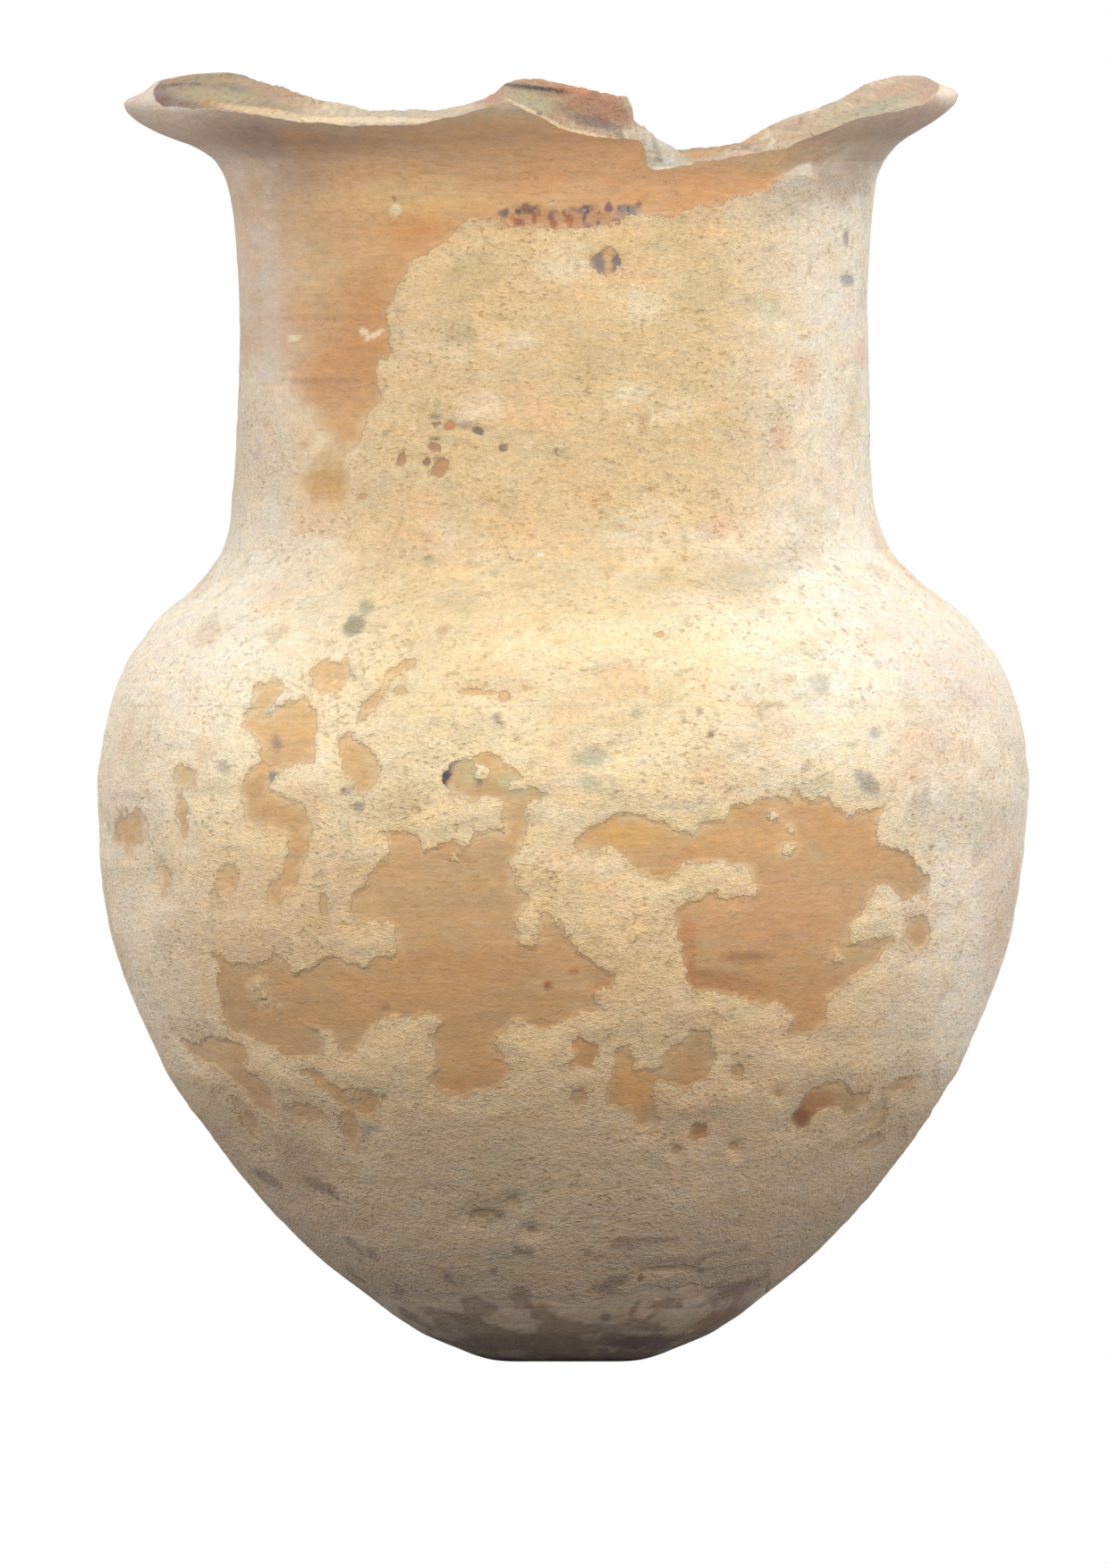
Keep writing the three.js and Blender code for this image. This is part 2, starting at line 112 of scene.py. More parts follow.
# The break, from the left end round: angle in degrees, how far in from the lip's tip and how far
# below its crest the break meets the outer face, then the same for the inner face. Drops below
# zero lie above the crest: the rim is whole there.
BREAK_LINE: tuple[tuple[float, ...], ...] = (
    (-179, 0, -3, 12, -6), (-174, 0, 8, 10, -0.6), (-160, 0, 8.2, 9.6, -0.6), (-147, 0.4, 8.6, 10.9, -0.2),
    (-137, 0.4, 10.2, 13.9, 3), (-127, 4.2, 12.5, 17.9, 5.1), (-119, 6, 13.6, 19.9, 8),
    (-108, 6, 13.6, 20.8, 8.6), (-102, 2.4, 11.5, 19.4, 7.1), (-98.2, 0.4, 9.2, 17.1, 4.7),
    (-96.3, 0.4, 7.4, 15.2, 2.9), (-95.2, 0.4, 6.8, 14.2, 1.8), (-94, 0.8, 8.2, 13.7, 1.1),
    (-91.7, 2.3, 10.2, 13.7, 1.3), (-89.1, 5, 12.2, 14, 1.8), (-87.2, 8.4, 14.4, 14.3, 2.3),
    (-84.3, 11, 15.7, 14.6, 3.5), (-81.2, 13, 16.9, 14.8, 4.8), (-78.2, 14.1, 17.6, 15, 5.4),
    (-76.3, 14.3, 17.9, 15.1, 5.8), (-75.2, 14.6, 18, 17.2, 7.4), (-74.4, 15.4, 18.2, 20, 10),
    (-73.6, 22.5, 24.2, 23, 11.8), (-72.2, 23.4, 25.4, 24, 12.9), (-70.3, 24.1, 26.4, 24.8, 15.2),
    (-68.2, 24.6, 27.2, 25.8, 17.4), (-65.6, 24.5, 27.1, 27.4, 20), (-62, 23.6, 25.9, 30.2, 22.8),
    (-57, 22.4, 24, 30.6, 21.6), (-53, 21, 22.4, 29.8, 19.8), (-49, 19.7, 21.2, 28.2, 17.7),
    (-41.5, 10.7, 16.7, 22.4, 11.3), (-37.5, 4.4, 12.7, 19.9, 8.4), (-27, 0.9, 10.3, 14.4, 3.2),
    (-21, 0.6, 9, 12.6, 1.4), (-17.5, 0.5, 8, 11.4, 0.3), (-8, 0.5, 7.6, 10.8, -0.4),
    (2, 0.5, 7.6, 10.8, -0.6), (6, 0, -3, 12, -6), (13, 0, -3, 12, -6), (16, 0, 1, 12, -2),
    (20, 1, 5, 13, 1), (24, 2, 9, 15, 3.4), (28, 4, 13, 18, 6.4), (34, 10, 17.5, 22.5, 12),
    (45, 21, 22, 29.5, 18), (64, 22, 23.5, 30.5, 20), (78, 21, 22, 29.5, 18.5), (90, 20, 21.5, 29, 17.5),
    (103, 18, 20, 27, 15.5), (115, 16, 19, 25, 13), (126, 11, 17, 22, 10.5), (138, 8, 15, 20, 8.5),
    (148, 2, 10.5, 15, 3), (153, 0, -3, 12, -6),
)

# The break's two rounded ends: across from the axis, height of the foremost point
LEFT_NOSE: Pair = (-102.7, 336.5)
RIGHT_NOSE: Pair = (105.6, 336.6)


class Side(Enum):
    """The side that an outline is seen from, as its azimuth in degrees."""

    FRONT = 0
    RIGHT = 90
    BACK = 180
    LEFT = 270


# Stretches where the crust has flaked off, as seen from one side: across, up, across, up and so on
NECK_EDGE_FRONT: Outline = (
    -85, 262, -80, 258, -74, 256, -67, 251, -65, 245, -64.5, 238.5, -69, 235, -68.5, 229.5, -62.5, 227,
    -57.5, 229.5, -57, 235, -59, 237.5, -57.5, 241.5, -54.5, 243, -51, 250, -47.3, 255.5, -49, 262, -45.5,
    266, -45.3, 273, -47.5, 278, -45, 282, -41, 289, -38, 293, -30, 297, -26, 301.4, -23.4, 302, -17, 302,
    -14, 301, -12.5, 300.4, -8, 300.1, -3.5, 299.4, -0.2, 300.1, 2.6, 298.5, 8.4, 298.7, 12.8, 300.4, 15.7,
    300.7, 17.8, 302.2, 21.5, 302.9, 24.7, 303.9, 28, 303.3, 31, 304.3, 38, 305, 47, 309, 54, 309, 56, 312,
    60, 315, 68, 316, 73, 319, 77, 322,
)
NECK_EDGE_BACK: Outline = (
    -79, 321, -72, 312, -66, 303, -60, 295, -40, 300, -15, 292, 10, 297, 30, 290, 52, 287, 66, 273, 74, 251,
    79, 246,
)
BARE_OUTLINES: tuple[tuple[Side, Outline], ...] = (
    # The left of the shoulder
    (Side.FRONT, (-84, 170, -81, 173, -81, 179, -76, 180, -74, 177, -78, 171, -67, 176, -65, 169, -66, 158,
        -72, 158, -75, 156, -80, 159, -81, 166, -84, 167)),
    (Side.FRONT, (-59, 165, -55, 166, -51, 162, -48, 157, -49, 152, -52, 148, -58, 156, -59, 160)),
    (Side.FRONT, (-37, 186, -42, 182, -46, 178, -50, 172, -54, 168, -53, 173, -49, 177, -46, 181, -42,
        185)),
    (Side.FRONT, (-32, 155, -27, 159, -21, 161, -17, 160, -12, 155, -9, 153, -3, 150, -7, 148, -14, 149,
        -24, 149, -29, 150)),
    (Side.FRONT, (-84, 156, -85, 151, -84, 142, -82, 140, -74, 140, -72, 135, -74, 129, -78, 126, -78, 122,
        -76, 120, -74, 121, -73, 124, -70, 126, -69, 131, -66, 137, -66, 142, -68, 146, -75, 150, -78, 151,
        -75, 158, -80, 160)),
    # The large stretch left of the middle, with its arms to the left and down to the flank
    (Side.FRONT, (-46, 137, -48, 140, -42, 141, -38, 139, -36, 135, -30, 137, -25, 138, -24, 140, -16, 141,
        -15, 150, -9, 148, -8, 143, -11, 137, -14, 132, -12, 130, -14, 126, -10, 124, -9, 121, -12, 117,
        -12, 111, -7, 109, -5, 118, 0, 115, 6, 107, 14, 102, 14, 99, 9, 98, 10, 94, 6, 92, -2, 89, -6, 88,
        -13, 90, -18, 87, -19, 84, -16, 80, -14, 77, -17, 73, -21, 71, -27, 70, -33, 72, -35, 75, -33, 78,
        -34, 83, -35, 87, -32, 90, -33, 92, -45, 91, -48, 89, -52, 85, -55, 81, -58, 81, -62, 87, -69, 90,
        -64, 87, -63, 79, -74, 80, -76, 83, -83, 85, -89, 87, -90, 95, -91, 102, -92, 109, -88, 105, -81,
        105, -76, 108, -74, 107, -71, 102, -66, 105, -60, 107, -53, 104, -44, 109, -44, 115, -49, 116, -55,
        117, -55, 123, -51, 130, -48, 132)),
    # The large stretch right of the middle
    (Side.FRONT, (2, 136, 5, 140, 9, 143, 15, 144, 22, 144, 28, 142, 30, 140, 34, 139, 37, 143, 43, 144, 44,
        147, 49, 148, 54, 149, 60, 148, 61, 151, 65, 148, 70, 149, 76, 144, 81, 147, 85, 147, 83, 141, 83,
        137, 91, 135, 93, 131, 97, 128, 96, 123, 89, 123, 86, 126, 82, 125, 79, 119, 76, 115, 76, 110, 87,
        112, 87, 110, 81, 104, 77, 102, 74, 98, 70, 96, 69, 91, 66, 86, 60, 86, 61, 91, 57, 95, 50, 95, 45,
        97, 35, 98, 32, 101, 31, 108, 30, 118, 35, 122, 39, 124, 43, 123, 49, 123, 52, 125, 49, 130, 46,
        131, 39, 132, 32, 131, 27, 128, 19, 129, 17, 132, 13, 135, 7, 135)),
    # Smaller ones on the flank
    (Side.FRONT, (5, 86, 9, 84, 10, 82, 7, 77, 1, 77, 3, 81, 3, 85)),
    (Side.FRONT, (14, 83, 17, 84, 20, 77, 26, 78, 28, 83, 33, 85, 34, 88, 40, 89, 40, 81, 37, 75, 31, 73,
        25, 74, 23, 70, 25, 67, 25, 63, 20, 63, 18, 67, 13, 68, 12, 73, 13, 79)),
    (Side.FRONT, (60, 63, 63, 70, 68, 73, 72, 74, 77, 71, 81, 71, 79, 68, 75, 64, 72, 67, 67, 66, 65, 61,
        61, 61)),
    (Side.FRONT, (-100, 85, -93, 86, -84, 84, -81, 77, -76, 70, -76, 66, -80, 67, -84, 72, -90, 77, -98,
        82)),
    (Side.FRONT, (-69, 77, -64, 77, -63, 74, -58, 72, -54, 73, -49, 71, -48, 67, -50, 64, -55, 66, -53, 61,
        -54, 57, -56, 58, -59, 63, -58, 67, -60, 70, -66, 74)),
    # The back and the sides, in the same manner
    (Side.BACK, (-60, 151, -47, 154, -35, 158, -22, 152, -10, 149, 5, 153, 22, 141, 18, 123, -2, 119, -12,
        105, -28, 101, -40, 101, -55, 113, -48, 129, -66, 139)),
    (Side.BACK, (35, 111, 48, 113, 60, 117, 72, 101, 66, 92, 58, 85, 40, 89)),
    (Side.BACK, (-30, 80, -10, 84, 2, 70, -12, 60, -28, 66)),
    (Side.BACK, (-20, 196, -6, 199, 5, 200, 18, 188, 4, 180, -14, 184)),
    (Side.RIGHT, (14, 60, 27, 62, 39, 66, 52, 52, 38, 42, 20, 46)),
    (Side.RIGHT, (10, 180, 28, 186, 34, 172, 20, 164)),
    (Side.RIGHT, (48, 120, 62, 124, 70, 112, 58, 100, 46, 108)),
    (Side.LEFT, (-65, 111, -54, 113, -45, 119, -30, 109, -36, 93, -58, 95)),
)

# Small bare spots on the front: across, up, half width, half height, turn in degrees
BARE_SPOTS: tuple[tuple[float, ...], ...] = (
    (-61.5, 181, 5.6, 4.1, 15), (-42.5, 177, 1.9, 1.3, 0), (-23.5, 177, 4.6, 0.8, -4),
    (-15.3, 175.6, 1.5, 1.5, 0), (-113.5, 141, 4.6, 5.2, 0), (-99.5, 154, 2.6, 3.4, 30),
    (-100.4, 144, 1.6, 4.6, 8), (-105, 129, 1.6, 5.2, 12), (-88.6, 127, 2.9, 4.4, -20),
    (-63, 120, 1, 4.2, 6), (-82.6, 64, 1.8, 5.2, 32), (-67.6, 66, 5.4, 2.2, -12), (89, 73, 5, 2, 28),
    (82.6, 65, 2, 4.6, -36), (81, 58, 3.6, 1.5, 24), (93.5, 113.5, 3.4, 4.6, -10), (4, 70, 1.9, 1.9, 0),
    (46, 77, 2, 1.6, 0), (36, 61, 2.5, 2.2, 10), (57, 71, 1, 1, 0), (45, 57, 1, 0.9, 0), (30, 56, 1, 1, 0),
    (-13, 43, 1.5, 0.9, 0), (-21, 39, 3, 1.5, 0), (-8, 35, 1.2, 0.8, 0), (27, 24.5, 6.4, 0.9, 5),
    (26.5, 18, 3.8, 1.5, 20), (45, 18, 6.6, 2.4, 16), (11, 10.8, 2, 1.2, 0), (-33.4, 248.3, 1.6, 1.1, 0),
    (-29.9, 247.4, 1.6, 1.1, -10), (-33.4, 242, 1.7, 1.6, 0), (-31.9, 236.4, 2, 2.3, -20),
    (-35.7, 237.8, 1.1, 1.1, 0), (-42.4, 238.8, 1.1, 1.7, 0), (-15.9, 241.5, 1.3, 1, 0),
    (-22, 245.9, 1.5, 0.8, -20), (-47, 69.8, 0.9, 0.8, 0), (-39, 146, 1.6, 1, 0), (-52.6, 228.7, 1, 0.9, 0),
    (25.7, 192, 1.2, 0.8, 0),
)
WINDOW: tuple[float, float, float, float] = (11.3, 290.8, 4.1, 3.4)

# Specks of crust left standing inside the bare stretches: across, up, radius
LEFT_CRUMBS: tuple[Triple, ...] = (
    (56, 144.6, 1.5), (60.2, 140.4, 0.9), (59.8, 135.6, 1.3), (73, 106.8, 1.3), (84, 142.2, 1.2),
    (45, 118.6, 0.7), (-26, 139, 2.2), (-29, 133.6, 1.4), (-80.4, 99.6, 1.7), (-79.4, 97, 1.4),
    (-78.6, 94.4, 0.9), (-74.6, 93.2, 0.8), (-21.4, 156.4, 2), (-12, 152.6, 2.2), (24, 80.5, 0.8),
    (-82, 78, 1.6), (-56, 70, 1),
)


def unit_step(value: Numbers, low: float, high: float) -> Numbers:
    """Ease from 0 at low to 1 at high, on either side of it: a cubic that is level at both ends."""
    share = np.clip((value - low) / (high - low), 0.0, 1.0)
    return share * share * (3.0 - 2.0 * share)


def lattice_value(across: NDArray, along: NDArray, up: NDArray, seed: int) -> Numbers:
    """Repeatable random value at whole-numbered places: an integer hash scaled to -1 to 1.

    Args:
        across, along, up: Whole x, y and z places.
        seed: Picks one of many such fields.

    Returns:
        Values from -1 to 1.
    """
    mixed = across * 374761393 + along * 668265263 + up * 1442695041 + seed * 1013904223
    mixed &= 0xFFFFFFFF
    mixed = ((mixed ^ (mixed >> 13)) * 1274126177) & 0xFFFFFFFF
    mixed ^= mixed >> 16
    return (mixed & 0xFFFF) / 32767.5 - 1.0


def smooth_noise(points: Numbers, size: float | Triple, seed: int) -> Numbers:
    """Value noise: the lattice's random values, blended smoothly between its eight corners.

    Args:
        points: Places in millimetres, one row each.
        size: Width of a lattice cell, or its three sides.
        seed: Picks the field.

    Returns:
        A value from -1 to 1 for each point.
    """
    scaled = points / np.asarray(size, float)
    corner = np.floor(scaled).astype(np.int64)
    share = scaled - corner
    share = share * share * (3.0 - 2.0 * share)
    total = np.zeros(len(points))
    for step in range(8):
        ahead = np.array([step & 1, step >> 1 & 1, step >> 2 & 1])
        weight = np.prod(np.where(ahead, share, 1.0 - share), axis=1)
        place = corner + ahead
        total += weight * lattice_value(place[:, 0], place[:, 1], place[:, 2], seed)
    return total


def layered_noise(points: Numbers, size: float | Triple, layers: int, seed: int) -> Numbers:
    """Sum of noises, each half as wide and half as strong as the one before.

    Args:
        points: Places in millimetres, one row each.
        size: Cell of the widest noise.
        layers: How many noises are added.
        seed: Picks the fields.

    Returns:
        A value of about -1 to 1 for each point.
    """
    total = np.zeros(len(points))
    cell = np.asarray(size, float)
    for layer in range(layers):
        total += smooth_noise(points, tuple(np.broadcast_to(cell, 3)), seed + layer) * 0.5**layer
        cell = cell / 2.0
    return total * 1.4 / (2.0 - 0.5 ** (layers - 1))


def neck_corner(across: Numbers, along: Numbers, up: Numbers, reach: Pair, foot: Pair) -> Numbers:
    """The left of the neck, where crust thins out: eased in over its reach, round the side and upwards."""
    return unit_step(across, *reach) * unit_step(along, 36, 2) * unit_step(up, *foot)


def linear(colour: Colour) -> Numbers:
    """Turn a screen colour of 0 to 255 into the linear one that materials hold."""
    share = np.array(colour, float) / 255.0
    return np.where(share <= 0.04045, share / 12.92, ((share + 0.055) / 1.055) ** 2.4)


class MeasuredLine:
    """A line through points of two numbers, measured by the length along it."""

    def __init__(self, points: Numbers) -> None:
        """Measure the line at each of its points."""
        self.points = points
        step = np.linalg.norm(np.diff(points, axis=0), axis=1)
        self.run = np.concatenate([[0.0], np.cumsum(step)])

    def at(self, run: Numbers) -> Numbers:
        """Points at lengths along the line."""
        return np.stack([np.interp(run, self.run, self.points[:, k]) for k in (0, 1)], axis=-1)


class SmoothCurve(MeasuredLine):
    """A smooth curve through knots of two numbers."""

    STEPS = 24

    def __init__(self, knots: Sequence[Pair]) -> None:
        """Lay a cubic between each two knots, with headings weighted by the chords beside them.

        Args:
            knots: Points that the curve passes through.
        """
        points = np.array(knots, float)
        chord = np.diff(points, axis=0)
        gap = np.linalg.norm(chord, axis=1)[:, None]
        slope = chord / gap
        inner = (slope[:-1] * gap[1:] + slope[1:] * gap[:-1]) / (gap[:-1] + gap[1:])
        heading = np.vstack([slope[:1], inner, slope[-1:]])
        share = (np.arange(self.STEPS) / self.STEPS)[None, :, None]
        start, end = points[:-1, None], points[1:, None]
        leave, arrive = (heading[:-1] * gap)[:, None], (heading[1:] * gap)[:, None]
        blend = share * share * (3.0 - 2.0 * share)
        lift = share * (1.0 - share) ** 2 * leave - share * share * (1.0 - share) * arrive
        body = start * (1.0 - blend) + end * blend + lift
        super().__init__(np.vstack([body.reshape(-1, 2), points[-1:]]))
        ahead = np.gradient(self.points, self.run, axis=0)
        self.ahead = ahead / np.linalg.norm(ahead, axis=1, keepdims=True)

    def normal(self, run: Numbers) -> Numbers:
        """Unit normals to the right of the heading, which is outwards on the wall."""
        ahead = np.stack([np.interp(run, self.run, self.ahead[:, k]) for k in (0, 1)], axis=-1)
        return np.stack([ahead[..., 1], -ahead[..., 0]], axis=-1)


class JarShape:
    """The jar's upright section and its wandering axis, which every piece is made on."""

    def __init__(self) -> None:
        """Lay the outer face's curve through its measured points."""
        self.outer = SmoothCurve(OUTER_PROFILE)

    def run_at(self, height: Numbers | float) -> Numbers:
        """Length along the outer face at a height."""
        return np.interp(height, self.outer.points[:, 1], self.outer.run)

    def face(self, run: Numbers, outwards: Numbers | float = 0.0) -> Numbers:
        """Radius and height at a length along the outer face, so far outside it."""
        return self.outer.at(run) + self.outer.normal(run) * np.asarray(outwards)[..., None]

    def relief(self, angle: Numbers, height: Numbers) -> Numbers:
        """How far the potter's hand moved the wall in or out: broad dents and wheel ridges.

        Args:
            angle: Angles round the axis in radians.
            height: Heights of the clay there.

        Returns:
            Millimetres outwards, fading to nothing under the foot.
        """
        angle, height = np.broadcast_arrays(angle, height)
        around = ring_points(angle, 110.0, height)
        ridges = smooth_noise(around, (300, 300, 7), 3) * 0.2 + smooth_noise(around, (90, 90, 2.6), 4) * 0.07
        dents = smooth_noise(around, (55, 55, 38), 5) * 0.5
        return ((ridges + dents) * unit_step(around[:, 2], 4, 30)).reshape(angle.shape)

    def place(self, angle: Numbers, radius: Numbers, height: Numbers) -> Numbers:
        """Put turned points where the leaning, tipping axis carries them.

        Args:
            angle: Angles round the axis in radians, -90 degrees at the front.
            radius: Distances from the axis.
            height: Heights before the rim tips.

        Returns:
            Points in millimetres, with a last axis of x, y and z.
        """
        across = radius * np.cos(angle)
        heights, shifts = np.array(AXIS_PATH).T
        x = across + np.interp(height, heights, shifts)
        tip = np.tan(np.radians(np.interp(height, *np.array(RIM_TIP).T)))
        return np.stack([x, radius * np.sin(angle), height + across * tip], axis=-1)

    def unwrap(self, outline: Outline, side: Side) -> Numbers:
        """Turn an outline seen from one side into angles and lengths along the outer face.

        Args:
            outline: Its corners across and up, one after another, in millimetres.
            side: The side that it is seen from.

        Returns:
            Angles in radians and lengths in millimetres, one row each.
        """
        seen, height = np.reshape(outline, (-1, 2)).T
        heights, shifts = np.array(AXIS_PATH).T
        turned = math.radians(side.value)
        centre = np.interp(height, heights, shifts) * math.cos(turned)
        run = self.run_at(height)
        share = np.clip((seen - centre) / self.face(run)[:, 0], -0.999, 0.999)
        return np.stack([np.arcsin(share) + turned - math.pi / 2, run], axis=-1)


def ring_points(angle: Numbers, radius: Numbers | float, height: Numbers | float) -> Numbers:
    """Points round an upright axis, one row each."""
    parts = np.broadcast_arrays(radius * np.cos(angle), radius * np.sin(angle), height)
    return np.stack(parts, axis=-1).reshape(-1, 3)


def column_angles(front: int, back: int) -> Numbers:
    """Angles round the jar, from the left end over the front, with finer steps at the front."""
    near = -math.pi + np.arange(front) * math.pi / front
    far = np.arange(back) * math.pi / back
    return np.concatenate([near, far])


def grid_faces(rows: int, columns: int, closed: bool) -> NDArray:
    """Triangles over a grid whose columns run round the jar, two for each cell.

    Args:
        rows: Rows of points.
        columns: Points in a row.
        closed: Whether the last row joins the first.

    Returns:
        Corner numbers, three to a row, facing out where rows rise on an outer face.
    """
    row = np.arange(rows if closed else rows - 1)[:, None]
    column = np.arange(columns)[None, :]
    after, above = (column + 1) % columns, (row + 1) % rows
    a, b = row * columns + column, row * columns + after
    c, d = above * columns + after, above * columns + column
    return np.stack([np.stack([a, b, c], -1), np.stack([a, c, d], -1)], 2).reshape(-1, 3)


def put_in_scene(name: str, data: bpy.types.ID) -> Piece:
    """Make an object at the origin from a mesh, a lamp or a camera."""
    made = bpy.data.objects.new(name, data)
    bpy.context.scene.collection.objects.link(made)
    return made


def make_piece(
    name: str, points: Numbers, faces: NDArray, tint: Numbers, materials: Sequence[Material],
    slots: NDArray | None = None, sharp_degrees: float = 50.0, extras: dict[str, Numbers] | None = None,
) -> Piece:
    """Make a mesh object from arrays, with doubled corners joined and empty triangles left out.

    Args:
        name: Name of the piece.
        points: Corners in millimetres.
        faces: Three corner numbers to a row.
        tint: Linear colour of each corner.
        materials: Materials of the piece.
        slots: Material number of each triangle, if it has more than one.
        sharp_degrees: Angle between triangles from which their edge is sharp.
        extras: Further colours, three numbers to a corner, or values, one to a corner, by name.

    Returns:
        The new object, at the origin.
    """
    keys = np.round(points * 2000.0).astype(np.int64)
    order = np.lexsort(keys.T)
    fresh = np.concatenate([[True], np.any(np.diff(keys[order], axis=0) != 0, axis=1)])
    group = np.empty(len(points), np.int64)
    group[order] = np.cumsum(fresh) - 1
    first = order[fresh]
    corners = group[faces]
    real = (corners != np.roll(corners, 1, axis=1)).all(axis=1)
    corners = corners[real]
    used, corners = np.unique(corners, return_inverse=True)
    corners = corners.reshape(-1, 3)
    kept = first[used]

    mesh = bpy.data.meshes.new(name)
    mesh.vertices.add(len(kept))
    mesh.vertices.foreach_set("co", (points[kept] / 1000.0).astype(np.float32).ravel())
    mesh.loops.add(corners.size)
    mesh.loops.foreach_set("vertex_index", corners.astype(np.int32).ravel())
    mesh.polygons.add(len(corners))
    mesh.polygons.foreach_set("loop_start", np.arange(0, corners.size, 3, dtype=np.int32))
    mesh.polygons.foreach_set("use_smooth", np.ones(len(corners), bool))
    if slots is not None:
        mesh.polygons.foreach_set("material_index", slots[real].astype(np.int32))
    for title, values in {"tint": tint, **(extras or {})}.items():
        if values.ndim == 1:
            layer, field, stored = mesh.attributes.new(title, "FLOAT", "POINT"), "value", values[kept]
        else:
            layer, field = mesh.color_attributes.new(title, "FLOAT_COLOR", "POINT"), "color"
            stored = np.column_stack([values[kept], np.ones(len(kept))])
        layer.data.foreach_set(field, stored.astype(np.float32).ravel())
    mesh.update(calc_edges=True)
    mesh.validate()
    mesh.set_sharp_from_angle(angle=math.radians(sharp_degrees))
    for material in materials:
        mesh.materials.append(material)
    LOG.info("%s: %d triangles", name, len(corners))
    return put_in_scene(name, mesh)


def turned_offsets(right: Numbers, rise: Numbers, degrees: float) -> tuple[Numbers, Numbers]:
    """Offsets from a middle, told along and over an axis that is turned up by some degrees."""
    cosine, sine = math.cos(math.radians(degrees)), math.sin(math.radians(degrees))
    return right * cosine + rise * sine, rise * cosine - right * sine


@dataclass(frozen=True)
class EllipseMark:
    """A stain, or a patch of painted light or shade, on the front of the jar: an ellipse with a ragged, soft
    edge.
    """

    x: float
    z: float
    half_width: float
    half_height: float
    turn: float
    colour: Colour
    strength: float = 0.8
    soft: float = 0.35
    ragged: float = 0.28

    def mask(self, points: Numbers) -> Numbers:
        """How strongly the mark covers each point: its ellipse's radius, roughened by noise."""
        cover = np.zeros(len(points))
        reach = 1.6 * max(self.half_width, self.half_height)
        near = (abs(points[:, 0] - self.x) < reach) & (abs(points[:, 2] - self.z) < reach)
        near &= points[:, 1] < 0
        close = points[near]
        along, over = turned_offsets(close[:, 0] - self.x, close[:, 2] - self.z, self.turn)
        size = min(self.half_width, self.half_height)
        frayed = layered_noise(close, max(size * 0.8, 0.9), 3, 31) * self.ragged
        away = np.hypot(along / self.half_width, over / self.half_height)
        cover[near] = unit_step(away + frayed, 1 + self.soft, 1 - self.soft)
        return cover * self.strength * unit_step(points[:, 1], 0, -18)


def tint_over(colours: Numbers, colour: Colour, cover: Numbers) -> Numbers:
    """Lay one colour over others, as far as cover says."""
    return colours + (linear(colour) - colours) * cover[:, None]


def height_ramp(height: Numbers, ramp: Sequence[tuple[float, Colour]]) -> Numbers:
    """Colours by height, blended between the ramp's steps."""
    heights = [step[0] for step in ramp]
    colours = np.array([linear(step[1]) for step in ramp])
    return np.stack([np.interp(height, heights, colours[:, k]) for k in range(3)], axis=-1)


GREY_GREEN: Colour = (172, 166, 134)
SLATE: Colour = (118, 112, 118)
PURPLE_GREY: Colour = (140, 118, 112)
PAINT_GREY: Colour = (128, 114, 110)
ROSE: Colour = (226, 176, 142)
CHALK: Colour = (246, 240, 224)
RUST: Colour = (178, 112, 70)
# Painted sheen towards the sides of the neck
EDGE_SHEEN: Colour = (218, 206, 194)
WORN_EDGE: Colour = (196, 166, 122)
# Darkens the crust in patches towards the bottom
LOW_DARK_PATCH: Colour = (142, 120, 101)
UMBER: Colour = (112, 84, 66)
